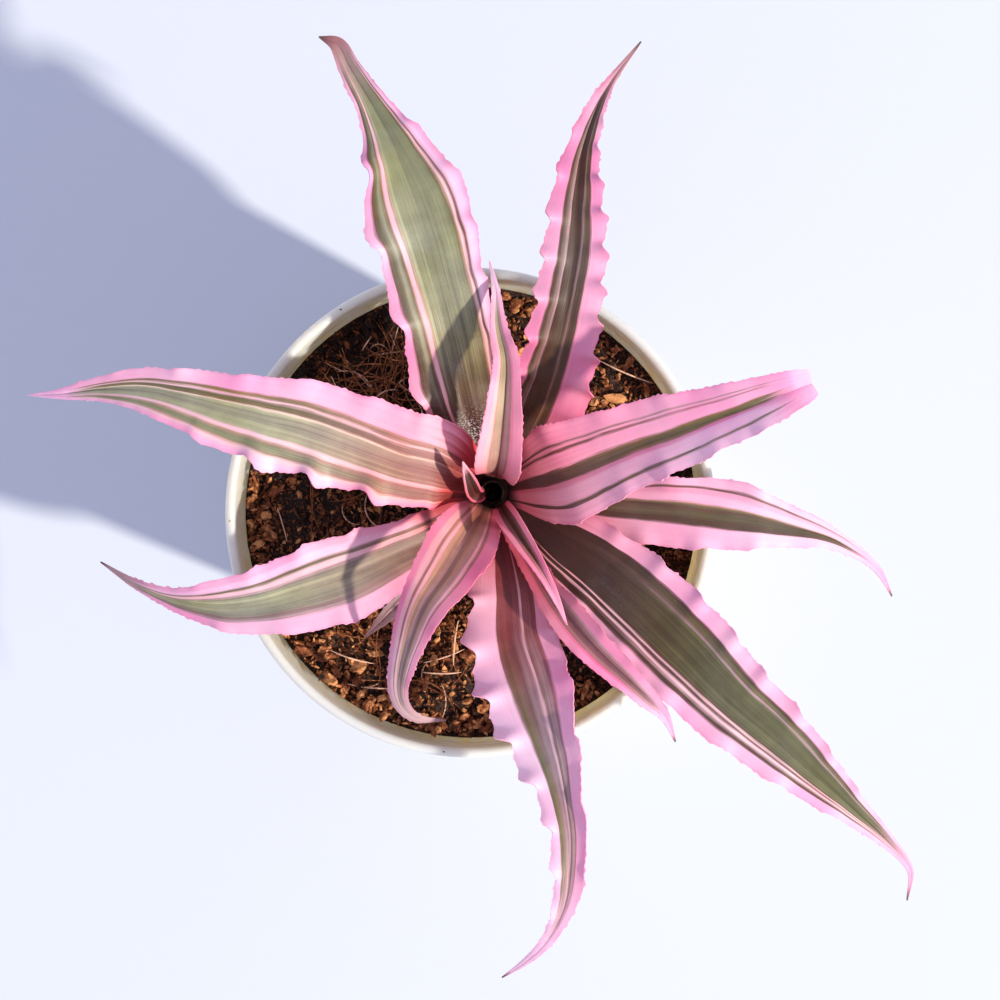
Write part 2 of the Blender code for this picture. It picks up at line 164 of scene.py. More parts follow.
class Leaf(NamedTuple):
    """A leaf: the height and half width at its base, its rib as (x, y, z, half width), margins and stripes.

    The stripes drift to the left by shares of the width, from the base to the tip. The base's and the tip's
    colours and the red flush each have a start and an end along the leaf. Frost is its share of scurf.
    """
    base_height: float
    base_half_width: float
    rib: tuple
    left: Edge
    right: Edge
    stripes: tuple
    slot: str
    drift: tuple = (0.0,) * 5
    base: tuple = (0.08, 0.45, 0.5, "mauve")
    flush: tuple = (0.04, 0.22, 0.9)
    tip: tuple = (0.82, 0.95, "hot_pink")
    frost: float = 0.25
    dry: float = 1.0
    reach: float = 0.0


# Margins are named as seen from the stem, looking out along the leaf from above.
# A fold is the slope in degrees of that half of the blade at the base, the middle and the tip, up if above 0.
# The outline steps in at the crest of each wave, going outwards, and it steps out where the bite is below 0.
# Stripes run from the left margin at 1 to the right margin at -1: each starts at its number.
LEAVES = {
    "leaf_top_left": Leaf(
        101.5, 4.2,
        ((-1.5, 27, 113.5, 10.4), (-5, 42.5, 119, 11.3), (-8, 55, 122, 11.8), (-13, 74, 124.5, 12.4),
         (-17, 85, 123.5, 8.3), (-22.7, 96, 120.5, 4.3), (-28.8, 106.5, 118, 2.6), (-31.6, 111.8, 117.8, 1.9),
         (-36.1, 114, 117, TIP_HALF_WIDTH)),
        left=Edge(19.2, 1.5, -2.2, 0.17, (10, 6, 20)),
        right=Edge(12.5, 0.7, 0.9, 0.4, (16, 2, 20)),
        stripes=((1.0, "pink"), (0.82, "brown"), (0.75, "olive"), (0.66, "grey_green"), (0.56, "gold_brown"),
                 (0.50, "blush"), (0.40, "tan"), (0.36, "light_green"), (0.26, "green"), (-0.58, "olive"),
                 (-0.64, "tan"), (-0.68, "blush"), (-0.73, "brown"), (-0.80, "pale_pink"), (-0.93, "pink")),
        drift=(-0.07, -0.05, 0.0, 0.12, 0.0), slot="leaf_pale_green",
        # Its dark umber base reaches far up the leaf: partly its own colour, partly painted shade where the
        # inner top leaf's shadow falls
        base=(0.15, 0.40, 0.90, "umber"), flush=(0.10, 0.20, 1.0), tip=(0.80, 0.97, "rose_brown"), frost=1.0),
    "leaf_top_right": Leaf(
        99.2, 3.0,
        ((16.6, 21.5, 107, 9.4), (20.5, 32.9, 114, 9.4), (22.9, 45.7, 120, 8.4), (25, 62.2, 123, 7.6),
         (25.4, 74, 123.5, 6.4), (26.8, 86.2, 121.5, 4), (30.5, 97.4, 118, 2.2), (34.2, 104.1, 115, 1.1),
         (41.2, 113.4, 114, TIP_HALF_WIDTH)),
        left=Edge(9.9, 1.3, -1.8, 0.39, (2, 8, 25)),
        right=Edge(8.1, 1.3, 1.9, 0.72, (12, 8, 25)),
        stripes=((1.0, "rose"), (0.92, "orchid"), (0.64, "rose"), (0.58, "umber"), (0.44, "taupe"),
                 (0.34, "mauve"), (0.29, "maroon"), (-0.14, "taupe"), (-0.20, "umber"), (-0.42, "rose"),
                 (-0.50, "orchid"), (-0.92, "rose")),
        drift=(0.28, 0.18, -0.03, -0.18, -0.45), slot="leaf_brown",
        base=(0.10, 0.50, 0.5, "dark_olive"), flush=(0.08, 0.22, 0.9), tip=(0.80, 0.96, "rose_brown")),
    "leaf_inner_top": Leaf(
        106.7, 2.8,
        ((6.9, 12.6, 117, 5.4), (7.7, 19.6, 122.5, 4.9), (8.4, 27.8, 126, 3.9), (8.6, 36.3, 126.3, 2.9),
         (6.9, 44.3, 125.1, 1.9), (6.2, 52.8, 123.6, 0.9), (4.8, 59.8, 121.9, TIP_HALF_WIDTH)),
        left=Edge(14, 0.5, 0.3, 0.2, (32, 28, 25)),
        right=Edge(14, 0.5, 0.3, 0.6, (40, 28, 25)),
        stripes=((1.0, "pink"), (0.70, "blush"), (0.50, "tan"), (0.40, "light_green"), (0.10, "olive"),
                 (-0.12, "mauve"), (-0.46, "rose"), (-0.60, "pink")),
        slot="leaf_rose",
        base=(0.10, 0.60, 0.7, "mauve"), flush=(0.0, 0.26, 0.8), tip=(0.75, 0.9, "pale_pink"), dry=0.0),
    "leaf_right": Leaf(
        104.8, 4.6,
        ((21.7, 9.2, 116, 12.1), (30.9, 12.8, 122, 11), (40.1, 16.4, 128, 9.8), (49.1, 19.3, 133.5, 8.9),
         (57.9, 22.2, 138.5, 7.3), (66.7, 25.2, 143, 6.1), (74.2, 28.1, 145.5, 4.4), (77.9, 29.5, 143, 3.1),
         (79.3, 30, 134, TIP_HALF_WIDTH)),
        left=Edge(16, 0.4, 0.3, 0.3, (18, 12, 20)),
        right=Edge(13, 0.5, 0.6, 0.0, (10, 8, 20)),
        # Its lower half is pale pink: partly its own colour, partly painted light where the blade turns from
        # the lamp
        stripes=((1.0, "pink"), (0.62, "mauve"), (0.57, "pink"), (0.50, "rose_brown"), (0.44, "pink"),
                 (0.13, "gold_brown"), (0.05, "olive"), (-0.10, "gold_brown"), (-0.18, "rose"),
                 (-0.28, "pale_pink"), (-0.62, "olive"), (-0.69, "pale_pink")),
        drift=(0.0, 0.0, 0.0, 0.08, 0.2), slot="leaf_rose",
        base=(0.10, 0.62, 0.9, "brown"), flush=(0.02, 0.32, 0.8), tip=(0.76, 0.86, "pink"), dry=0.0),
    "leaf_right_low": Leaf(
        98.2, 2.6,
        ((27, 1.4, 102.3, 6.6), (41.4, 0.2, 105.8, 8), (53.4, 0, 108, 8.8), (65.5, -1, 108.5, 8.1),
         (78, -3.5, 106.5, 5), (88, -6.2, 103.5, 2.7), (96.5, -10.7, 99.5, 1.3), (101.4, -15, 96.5, 0.8),
         (105, -20.9, 92.5, TIP_HALF_WIDTH)),
        left=Edge(19, 0.9, 0.8, 0.35, (16, 6, 30)),
        right=Edge(14, 0.6, 0.7, 0.1, (4, 6, 30)),
        stripes=((1.0, "pink"), (0.72, "brown"), (0.64, "rose"), (0.46, "pink"), (0.22, "gold_brown"),
                 (0.14, "umber"), (0.00, "dark_olive"), (-0.22, "umber"), (-0.44, "pink")),
        drift=(0.25, 0.18, 0.0, -0.05, 0.0), slot="leaf_olive",
        base=(0.10, 0.45, 0.6, "brown"), flush=(0.08, 0.24, 0.8), tip=(0.78, 0.90, "pink")),
    "leaf_lower_right": Leaf(
        99.8, 3.6,
        ((22, -7.4, 104.8, 9), (31.5, -14.4, 108, 11), (41, -23, 111.3, 12.3), (51.6, -33.6, 114, 12.3),
         (62.3, -44.8, 115, 10.8), (73, -54.2, 114.5, 9.2), (83, -63.3, 113, 6.7), (92.3, -71.6, 110.5, 3.9),
         (101.6, -80, 107, 1.8), (107.6, -87.5, 104, 0.8), (107.4, -95.4, 101, TIP_HALF_WIDTH)),
        left=Edge(12, 0.7, 0.9, 0.2, (14, 8, 20)),
        right=Edge(16, 0.6, 0.8, 0.6, (0, -4, 20)),
        stripes=((1.0, "pink"), (0.66, "umber"), (0.60, "olive"), (0.48, "mauve"), (0.43, "moss"),
                 (-0.32, "umber"), (-0.38, "blush"), (-0.43, "brown"), (-0.49, "blush"), (-0.56, "mauve"),
                 (-0.61, "umber"), (-0.71, "pink")),
        drift=(-0.05, 0.0, 0.03, 0.07, 0.1), slot="leaf_olive",
        base=(0.12, 0.60, 1.0, "maroon"), flush=(0.03, 0.18, 0.8), tip=(0.82, 0.96, "pink")),
    "leaf_lower_right_narrow": Leaf(
        103.0, 2.2,
        ((18, -17.7, 111.3, 3.2), (23.7, -25.5, 115.2, 4.4), (30.2, -32.7, 117.2, 4.2),
         (37.4, -39.3, 117.5, 3.3), (43.4, -45.1, 116, 2.2), (47.1, -49.3, 114.5, 1.1),
         (49.6, -55.3, 112, TIP_HALF_WIDTH)),
        left=Edge(10, 0.7, 0.8, 0.3, (20, 30, 30)),
        right=Edge(12, 0.4, 0.4, 0.0, (18, 15, 30)),
        stripes=((1.0, "rose"), (0.56, "mauve"), (0.40, "rose_brown"), (0.26, "plum"), (-0.24, "rose_brown"),
                 (-0.44, "hot_pink"), (-0.60, "rose")),
        drift=(0.0, 0.0, 0.0, -0.1, -0.2), slot="leaf_rose",
        base=(0.10, 0.60, 0.7, "wine"), flush=(0.15, 0.62, 0.8), tip=(0.78, 0.92, "pink")),
    "leaf_bottom": Leaf(
        101.6, 3.4,
        ((9.2, -18.8, 107.3, 9.2), (9.9, -30.8, 111, 10.8), (12.8, -40.2, 114.6, 11.6),
         (16.4, -51.5, 118.8, 9.4), (19.7, -61.2, 121.8, 7.1), (21.7, -68.2, 123.2, 5.3),
         (23.3, -77.3, 123.8, 4.4), (23.4, -87, 122.8, 3.7), (22.2, -94.4, 121, 2.6),
         (18.6, -102.1, 118, 1.5), (13.8, -107.9, 113, 0.9), (7.8, -113.2, 107, TIP_HALF_WIDTH)),
        left=Edge(14.9, 0.6, -1.2, 0.31, (3, 12, 20), upturn=4.0),
        right=Edge(11.5, 1.5, 3.2, 0.57, (6, 4, 20)),
        stripes=((1.0, "pink"), (0.62, "rose_brown"), (0.54, "mauve"), (0.42, "taupe"), (0.32, "blush"),
                 (0.26, "mauve"), (0.06, "taupe"), (-0.10, "olive"), (-0.26, "mauve"), (-0.31, "pale_pink")),
        drift=(0.0, 0.0, -0.02, -0.18, -0.3), slot="leaf_rose",
        base=(0.14, 0.48, 1.0, "wine"), flush=(0.05, 0.20, 0.9), tip=(0.70, 0.92, "pale_pink")),
    "leaf_inner_fold": Leaf(
        106.5, 1.6,
        ((9.9, -2.4, 115.5, 2.6), (13.3, -7.6, 121.5, 2.3), (17.3, -14, 125, 1.5), (20.4, -20, 126, 0.9),
         (23.1, -26.5, 125.5, TIP_HALF_WIDTH)),
        left=Edge(12, 0.0, 0.0, 0.0, (50, 45, 30), tooth=0.3),
        right=Edge(12, 0.0, 0.0, 0.0, (50, 45, 30), tooth=0.3),
        stripes=((1.0, "rose"), (0.66, "rose_brown"), (0.44, "brown"), (-0.30, "rose_brown"), (-0.62, "rose")),
        slot="leaf_rose",
        base=(0.05, 0.60, 0.9, "brown"), flush=(0.05, 0.42, 0.8), tip=(0.55, 0.85, "pink"), dry=0.3),
    "leaf_inner_lower_left": Leaf(
        105.6, 3.8,
        ((-1.8, -6.9, 117, 8), (-5.9, -13.9, 121.5, 7.5), (-10.6, -20.9, 124, 5.8), (-14.2, -29.5, 123, 4.3),
         (-16.3, -36.2, 119, 3.2), (-17.3, -42.6, 114, 2.4), (-16.2, -47.1, 110.5, 1.8),
         (-12.7, -50.1, 107, 1.1), (-6, -50.9, 103.5, TIP_HALF_WIDTH)),
        left=Edge(16, 0.4, 0.4, 0.2, (26, 30, 32)),
        right=Edge(16, 0.4, 0.4, 0.7, (30, -28, -20)),
        stripes=((1.0, "rose"), (0.66, "rose_brown"), (0.58, "blush"), (0.48, "mauve"), (0.34, "tan"),
                 (0.26, "taupe"), (0.10, "mauve"), (-0.06, "taupe"), (-0.20, "tan"), (-0.32, "blush"),
                 (-0.44, "rose_brown"), (-0.54, "blush"), (-0.76, "rose")),
        drift=(0.0, 0.0, 0.0, 0.15, 0.2), slot="leaf_olive",
        base=(0.05, 0.55, 0.6, "tan"), flush=(0.0, 0.20, 0.7), tip=(0.62, 0.90, "mauve"), dry=0.3),
    "leaf_lower_left": Leaf(
        99.2, 3.6,
        ((-7.4, -5.5, 104, 7), (-17, -10, 107.5, 8.2), (-29, -15.3, 111, 10.4), (-38.5, -18.4, 112.5, 10.2),
         (-48.2, -21, 112.5, 8.5), (-58, -22.1, 111, 6.7), (-65.4, -21.9, 109, 4.6), (-73.1, -20.8, 106, 2.4),
         (-82.2, -17.5, 102, 1.1), (-91.6, -12.3, 97, TIP_HALF_WIDTH)),
        left=Edge(14, 0.5, 0.6, 0.5, (8, 8, 30)),
        right=Edge(14, 0.6, 0.9, 0.1, (10, 6, 30)),
        stripes=((1.0, "pink"), (0.58, "mauve"), (0.48, "taupe"), (0.38, "grey_green"), (0.20, "light_green"),
                 (-0.20, "grey_green"), (-0.30, "mauve"), (-0.36, "blush"), (-0.50, "olive"),
                 (-0.60, "pale_pink"), (-0.80, "pink")),
        drift=(-0.05, 0.0, 0.0, 0.12, 0.3), slot="leaf_pale_green",
        base=(0.12, 0.55, 0.9, "taupe"), flush=(0.08, 0.24, 0.9), tip=(0.80, 0.95, "mauve")),
    "leaf_left": Leaf(
        103.9, 4.2,
        ((-7.2, 11.2, 113.8, 10.4), (-16.7, 13.2, 118, 11.5), (-28.4, 16.8, 121, 11.7),
         (-40, 20.1, 123, 11.6), (-49.5, 21.8, 123.5, 10.5), (-59, 24.4, 122.5, 8.9), (-69, 27.3, 120.5, 7),
         (-79, 29.5, 117.5, 5), (-89, 29.8, 113.5, 2.9), (-99.5, 28.8, 109, 1.2),
         (-108, 28.7, 105, TIP_HALF_WIDTH)),
        left=Edge(14.7, 1.6, 2.8, 0.51, (14, 4, 20), fade=(0.42, 0.72)),
        right=Edge(15, 0.5, 0.6, 0.1, (18, 8, 20)),
        stripes=((1.0, "pink"), (0.86, "blush"), (0.76, "tan"), (0.70, "green"), (0.54, "tan"),
                 (0.46, "blush"), (0.36, "light_green"), (0.16, "grey_green"), (-0.12, "light_green"),
                 (-0.18, "cream"), (-0.22, "gold_brown"), (-0.27, "olive"), (-0.38, "blush"),
                 (-0.44, "gold_brown"), (-0.54, "pink")),
        drift=(0.15, 0.04, -0.08, -0.04, 0.1), slot="leaf_pale_green",
        base=(0.08, 0.46, 0.8, "rose_brown"), flush=(0.07, 0.15, 1.0), tip=(0.84, 0.95, "pale_pink"),
        dry=0.2),
    "leaf_innermost": Leaf(
        108.6, 1.2,
        ((1.4, 4.6, 113, 1.9), (0, 7.8, 117.8, 1.6), (-1.6, 12.2, 121.5, TIP_HALF_WIDTH)),
        left=Edge(12, 0.0, 0.0, 0.0, (30, 30, 30), tooth=0.3),
        right=Edge(12, 0.0, 0.0, 0.0, (30, 30, 30), tooth=0.3),
        stripes=((1.0, "rose"), (0.80, "maroon"), (0.2, "wine"), (-0.2, "maroon"), (-0.84, "rose")),
        slot="leaf_brown", dry=0.0,
        flush=(0.2, 0.9, 0.8), tip=(0.75, 0.95, "pink"), reach=2.0),
    "leaf_withered": Leaf(
        97.3, 1.3,
        ((-7, -10.5, 99.2, 2), (-14.4, -19.1, 99.8, 2), (-20.4, -25.1, 99.4, 1.7),
         (-26.3, -31, 99, TIP_HALF_WIDTH)),
        left=Edge(9, 0.3, 0.2, 0.0, (20, 25, 30)),
        right=Edge(9, 0.3, 0.2, 0.5, (20, 25, 30)),
        stripes=((1.0, "dry"), (0.5, "mauve"), (0.1, "dry"), (-0.3, "plum"), (-0.6, "dry")),
        slot="leaf_withered",
        flush=(0.0, 0.1, 0.3), tip=(0.6, 0.95, "plum"), frost=0.6),
}


# The chips are painted darker round one place, as painted shade where the leaves' shadow falls on the soil, in
# metres
SHADED_SOIL_PLACE = (-0.030, 0.034)
SHADED_SOIL_REACH = (0.016, 0.036)
PAINTED_SOIL_SHADE = 0.55

# Every so many crumbs and chips lie in a bank against the pot's wall, over these angles in degrees
HEAPED_EVERY = 5
HEAPED_ANGLES = (95.0, 305.0)
BANK_WIDTH = 0.0045
BANK_HEIGHT = 0.0048
LEAST_BANK = 0.3
ROOM_ROUND_STEM = 0.0075

# How a crumb is turned, in radians, how its sides differ from its size, and how far its corners are rubbed
CHIP_TILTS = (1.2, 0.9, 6.3)
CHIP_SIDES = ((0.8, 1.9), (0.45, 1.0), (0.3, 0.8))
CHIP_RUB = 0.11

# The long pale straws on the soil, each from end to end, in millimetres
STRAWS = (
    ((-3.4, -26.7), (-4.6, -37.9)),
    ((-11.6, -37.6), (-1.4, -34.2)),
    ((-12.1, -39.9), (-2.2, -39.9)),
    ((-34.9, -34.6), (-23.8, -37.9)),
    ((-31.2, -42.8), (-19.5, -44.1)),
    ((31.6, 37.3), (45.0, 31.6)),
)
STRAW_STEPS = 12

# The pot's foot and floor, and the two sides of its collar as (radius, height)
FOOT_RING = 0.003
POT_FLOOR = 0.0056
COLLAR_OUTSIDE = ((0.0558, 0.0860), (0.0566, 0.0890), (0.0574, 0.0920), (0.0582, 0.0950), (0.0589, 0.0980),
                  (0.0595, 0.1006))
COLLAR_INSIDE = ((0.0572, 0.1000), (0.0567, 0.0950), (0.0560, 0.0924), (0.0553, 0.0900), (0.0545, 0.0876))
INNER_STEP = 0.0820

# The stage
LAMP_PLACE = Vector((4.096, -1.998, 3.100))
LAMP_AIM = Vector((0.0, 0.0, 0.1))
CAMERA_PLACE = (0.00726, 0.00306)
FLOOR_SIZE = 30.0
FLOOR_HEIGHT = -0.0001

# Colours that the tissue takes on, as red, green, blue and alpha
MARGIN_TINT = (0.96, 0.66, 0.76, 1.0)
FLUSH_TINT = (0.55, 0.12, 0.12, 1.0)
# Painted shade: multiplies the tissue near the heart, where the other leaves shade it
PAINTED_HEART_SHADE = (1.0, 0.72, 0.66, 1.0)
SCURF = (0.66, 0.63, 0.64, 1.0)
# Partly scurf, partly a painted sheen
SCURF_AND_PAINTED_SHEEN = (0.52, 0.50, 0.48, 1.0)
GRANULES = (0.62, 0.58, 0.60, 1.0)
SILVER = (0.50, 0.46, 0.47, 1.0)
DRIED_TIP = (0.13, 0.07, 0.06, 1.0)
# Painted shade for the feet of the leaves, in the hollow of the heart
PAINTED_FOOT_SHADE = (0.02, 0.006, 0.006, 1.0)

# Colours of the marks on the pot
YELLOWED = (0.72, 0.66, 0.56, 1.0)
DUST = (0.42, 0.34, 0.26, 1.0)
# Partly soil stains, partly painted light thrown up from the soil onto the inner wall
STAIN_AND_PAINTED_BOUNCE = (0.64, 0.50, 0.37, 1.0)


class Signal:
    """One output of a node. Sums, differences and products of signals become Math nodes."""

    def __init__(self, maker, socket):
        self.maker = maker
        self.socket = socket

    def __add__(self, other):
        return self.maker.math("ADD", self, other)

    def __sub__(self, other):
        return self.maker.math("SUBTRACT", self, other)

    def __mul__(self, other):
        return self.maker.math("MULTIPLY", self, other)

    def swing(self, amount):
        """A pattern that lies about a half, moved to lie about 0, times an amount."""
        return (self - 0.5) * amount

    def clamped(self):
        self.socket.node.use_clamp = True
        return self


class Maker:
    """Adds nodes to one tree. A signal given as an input is joined to it, and any other value is set on it."""

    def __init__(self, tree):
        self.tree = tree

    def add(self, kind, inputs, output=0, **settings):
        """Adds a node with its settings and its inputs by name or number, and gives one of its outputs."""
        node = self.tree.nodes.new("ShaderNode" + kind)
        for name, value in settings.items():
            setattr(node, name, value)
        self.feed(node, inputs)
        return Signal(self, node.outputs[output])

    def feed(self, node, inputs):
        for name, value in inputs.items():
            if isinstance(value, Signal):
                self.tree.links.new(value.socket, node.inputs[name])
            else:
                node.inputs[name].default_value = value

    def math(self, operation, first, second=0.0):
        return self.add("Math", {0: first, 1: second}, operation=operation)

    def mix(self, factor, first, second, blend="MIX"):
        return self.add("Mix", {0: factor, 6: first, 7: second}, 2, data_type="RGBA", blend_type=blend)

    def rise(self, value, low, high, bottom=0.0, top=1.0):
        """Goes smoothly from the bottom to the top while the value goes from low to high."""
        spans = {"Value": value, "From Min": low, "From Max": high, "To Min": bottom, "To Max": top}
        return self.add("MapRange", spans, "Result", interpolation_type="SMOOTHSTEP")

    def noise(self, place, scale, detail=2.0, roughness=0.5):
        inputs = {"Vector": place, "Scale": scale, "Detail": detail, "Roughness": roughness}
        return self.add("TexNoise", inputs, "Fac")

    def stretch(self, place, *scale):
        return self.add("VectorMath", {0: place, 1: scale}, operation="MULTIPLY")

    def part(self, place, axis):
        return self.add("SeparateXYZ", {"Vector": place}, axis)

    def object_place(self):
        return self.add("TexCoord", {}, "Object")

    def ramp(self, value, stops):
        colour = self.add("ValToRGB", {"Fac": value}, "Color")
        elements = colour.socket.node.color_ramp.elements
        while len(elements) > 1:
            elements.remove(elements[-1])
        elements[0].position, elements[0].color = stops[0][0], (*stops[0][1], 1.0)
        for position, shade in stops[1:]:
            elements.new(position).color = (*shade, 1.0)
        return colour


def fill_tissue(m, given):
    """Turns a leaf's stripes into living tissue: browner at the base, streaked, mottled, scurfy, dry-tipped."""
    leaf_place, object_place, frost = given["Leaf place"], given["Object place"], given["Frost"]
    across, along = m.part(leaf_place, "X"), m.part(leaf_place, "Y")
    band = m.rise(m.add("SeparateColor", {"Color": given["Stripes"]}, "Red"), 0.74, 0.50)
    streaks = m.noise(m.stretch(leaf_place, 36.0, 1.7, 1.0), 1.0, 4.0, 0.65)
    veins = m.noise(m.stretch(leaf_place, 150.0, 1.5, 1.0), 1.0, 1.0)
    mottle = m.noise(object_place, 190.0, 4.0, 0.6)
    cloudy = m.noise(object_place, 42.0)

    # The colours of the base and the tip run into the stripes with ragged ends
    reach = along + streaks.swing(0.30) + cloudy.swing(0.12)
    aged = m.rise(reach, given["Base start"], given["Base end"], 1.0, 0.0) * band * given["Base amount"]
    colour = m.mix(aged, given["Stripes"], given["Base colour"])
    colour = m.mix(m.rise(reach, given["Tip start"], given["Tip end"]), colour, given["Tip colour"])

    # Streaks, veins and mottles are strongest in the dark bands
    deep = (band * 1.15 + 0.17) * m.rise(along, 0.0, 0.30, 0.35, 1.0)
    shade = streaks.swing(deep) + veins.swing(deep) * 0.5 + mottle.swing(band * 0.45 + 0.22)
    tints = {"Hue": 0.5, "Saturation": cloudy.swing(0.9) + 1.0, "Value": shade + 1.0, "Color": colour}
    colour = m.add("HueSaturation", tints, "Color")

    # Rosy margins, a red flush from the base, and a painted shade round the heart that makes the tissue near it
    # warmer and darker
    edge = m.math("ABSOLUTE", across * 2.0 - 1.0)
    colour = m.mix(m.rise(edge, 0.93, 1.0, 0.0, 0.5), colour, MARGIN_TINT, "MULTIPLY")
    steady = along + (reach - along) * 0.3
    flush = m.rise(steady, given["Flush start"], given["Flush end"], 1.0, 0.0) * given["Flush"]
    colour = m.mix(flush, colour, FLUSH_TINT, "MULTIPLY")
    ends = {0: m.stretch(object_place, 1.0, 1.0, 0.0), 1: (STEM_X * MM, STEM_Y * MM, 0.0)}
    from_heart = m.add("VectorMath", ends, "Value", operation="DISTANCE")
    colour = m.mix(m.rise(from_heart, 0.012, 0.062, 0.85, 0.0), colour, PAINTED_HEART_SHADE, "MULTIPLY")

    # Scurf lies in flecks, as granules near the base and as silver on the underside; a thin grey cast over the
    # dark bands is partly scurf and partly a painted sheen
    flecks = m.rise(m.noise(m.stretch(leaf_place, 60.0, 330.0, 1.0), 1.0, 2.0, 0.7), 0.58, 0.74)
    patches = m.rise(m.noise(object_place, 70.0, 3.0, 0.6), 0.42, 0.66)
    near_base = m.rise(along, 0.08, 0.5, 1.0, 0.25)
    scurf = (flecks * patches * (near_base * frost) * 0.6).clamped()
    colour = m.mix(scurf, colour, SCURF)
    # Partly scurf, partly a painted sheen: grey patches over the dark bands
    colour = m.mix(patches * band * (frost * 0.10), colour, SCURF_AND_PAINTED_SHEEN)
    granules = m.rise(m.noise(object_place, 2100.0, 2.0, 0.6), 0.53, 0.62)
    granules = granules * (m.rise(along, 0.10, 0.19, 1.0, 0.0) * band) * m.rise(frost, 0.5, 1.0, 0.0, 0.85)
    colour = m.mix(granules, colour, GRANULES)
    silver = given["Silver"] * m.rise(mottle, 0.25, 0.75, 0.75, 1.0)
    colour = m.mix(silver, colour, SILVER)

    colour = m.mix(m.rise(along, 0.965, 0.998) * given["Dry end"], colour, DRIED_TIP)
    # Painted shade: the foot of every leaf goes nearly black, as the shaded hollow of the heart
    colour = m.mix(m.rise(along, 0.0, 0.045, 0.95, 0.0), colour, PAINTED_FOOT_SHADE)
    rough = (m.rise(mottle, 0.2, 0.8, 0.38, 0.56) + (scurf + silver) * 0.3).clamped()
    return colour, rough, veins * 0.7 + streaks * 0.5 + mottle * 0.25 + scurf * 0.4


def fill_crumb(m, given):
    """Crumbly brown matter: a tone picked by each piece, darker pits and a coarse, uneven surface."""
    crumbs = m.noise(given["Place"], given["Grain"], 4.0, 0.65)
    dark_patch = m.noise(given["Place"], 60.0)
    tone = (given["Tone"] + crumbs.swing(1.7) + dark_patch.swing(0.5)).clamped()
    colour = m.mix(m.rise(tone, 0.05, 0.5), given["Dark"], given["Middle"])
    colour = m.mix(m.rise(tone, 0.5, 0.95), colour, given["Light"])
    return colour, m.rise(dark_patch, 0.3, 0.7, 0.62, 0.95), crumbs


def fill_marks(m, given):
    """Marks of use on a smooth ware: faint cloudiness, fine rubbed scratches and dust that settles in spots."""
    cloud = m.noise(given["Place"], 28.0, 3.0)
    rubbed = m.noise(m.stretch(given["Place"], 60.0, 60.0, 900.0), 1.0, 2.0, 0.6)
    specks = m.rise(m.noise(given["Place"], 700.0), 0.66, 0.76)
    tinted = m.mix(cloud * 0.12, given["Colour"], YELLOWED)
    colour = m.mix(specks * given["Marks"] * 0.25, tinted, DUST)
    rough = (given["Roughness"] + (cloud + rubbed - 1.0) * 0.22 * given["Marks"]).clamped()
    return colour, rough, cloud * 0.8 + rubbed * 0.2


# Each shared effect: what fills its node group, and its inputs by kind
EFFECTS = {
    "Leaf tissue": (fill_tissue, {
        "Vector": ("Leaf place", "Object place"), "Color": ("Stripes", "Base colour", "Tip colour"),
        "Float": ("Base start", "Base end", "Base amount", "Flush start", "Flush end", "Flush",
                  "Tip start", "Tip end", "Frost", "Dry end", "Silver")}),
    "Crumb": (fill_crumb, {
        "Vector": ("Place",), "Color": ("Dark", "Middle", "Light"), "Float": ("Tone", "Grain")}),
    "Handling marks": (fill_marks, {
        "Vector": ("Place",), "Color": ("Colour",), "Float": ("Roughness", "Marks")}),
}
RESULTS = {"Colour": "Color", "Roughness": "Float", "Height": "Float"}


def effect_group(name):
    """The node group of a shared effect, with named inputs and outputs, made when it is first asked for."""
    if name in bpy.data.node_groups:
        return bpy.data.node_groups[name]
    tree = bpy.data.node_groups.new(name, "ShaderNodeTree")
    fill, inputs = EFFECTS[name]
    for kind, labels in inputs.items():
        for label in labels:
            tree.interface.new_socket(label, in_out="INPUT", socket_type="NodeSocket" + kind)
    for label, kind in RESULTS.items():
        tree.interface.new_socket(label, in_out="OUTPUT", socket_type="NodeSocket" + kind)
    m = Maker(tree)
    given = {socket.name: Signal(m, socket) for socket in tree.nodes.new("NodeGroupInput").outputs}
    m.feed(tree.nodes.new("NodeGroupOutput"), dict(zip(RESULTS, fill(m, given))))
    return tree


def new_material(name):
    """A material with its maker and its Principled shader."""
    material = bpy.data.materials.new(name)
    material.use_nodes = True
    return material, Maker(material.node_tree), material.node_tree.nodes["Principled BSDF"]


def finish_surface(m, shader, effect, given, depth, strength, others):
    """Places a shared effect with its values, joins it to the shader, and sets the shader's other inputs."""
    group = m.tree.nodes.new("ShaderNodeGroup")
    group.node_tree = effect_group(effect)
    m.feed(group, given)
    colour, roughness, height = (Signal(m, group.outputs[label]) for label in RESULTS)
    bump = m.add("Bump", {"Height": height, "Strength": strength, "Distance": depth}, "Normal")
    m.feed(shader, {"Base Color": colour, "Roughness": roughness, "Normal": bump, **others})


def opaque(colour):
    return (*colour, 1.0)


def stripe_stops(stripes, softness):
    """The stops of a colour ramp that runs from the right margin to the left one, with soft stripe edges."""
    ordered = [((start + 1.0) / 2.0, SHADES[shade]) for start, shade in reversed(stripes)]
    stops = [(0.0, ordered[0][1])]
    lower = 0.0
    for (upper, colour), (end, following) in zip(ordered, ordered[1:]):
        soft = min(softness, 0.48 * (upper - lower), 0.48 * (end - upper))
        stops += [(upper - soft, colour), (upper + soft, following)]
        lower = upper
    return stops


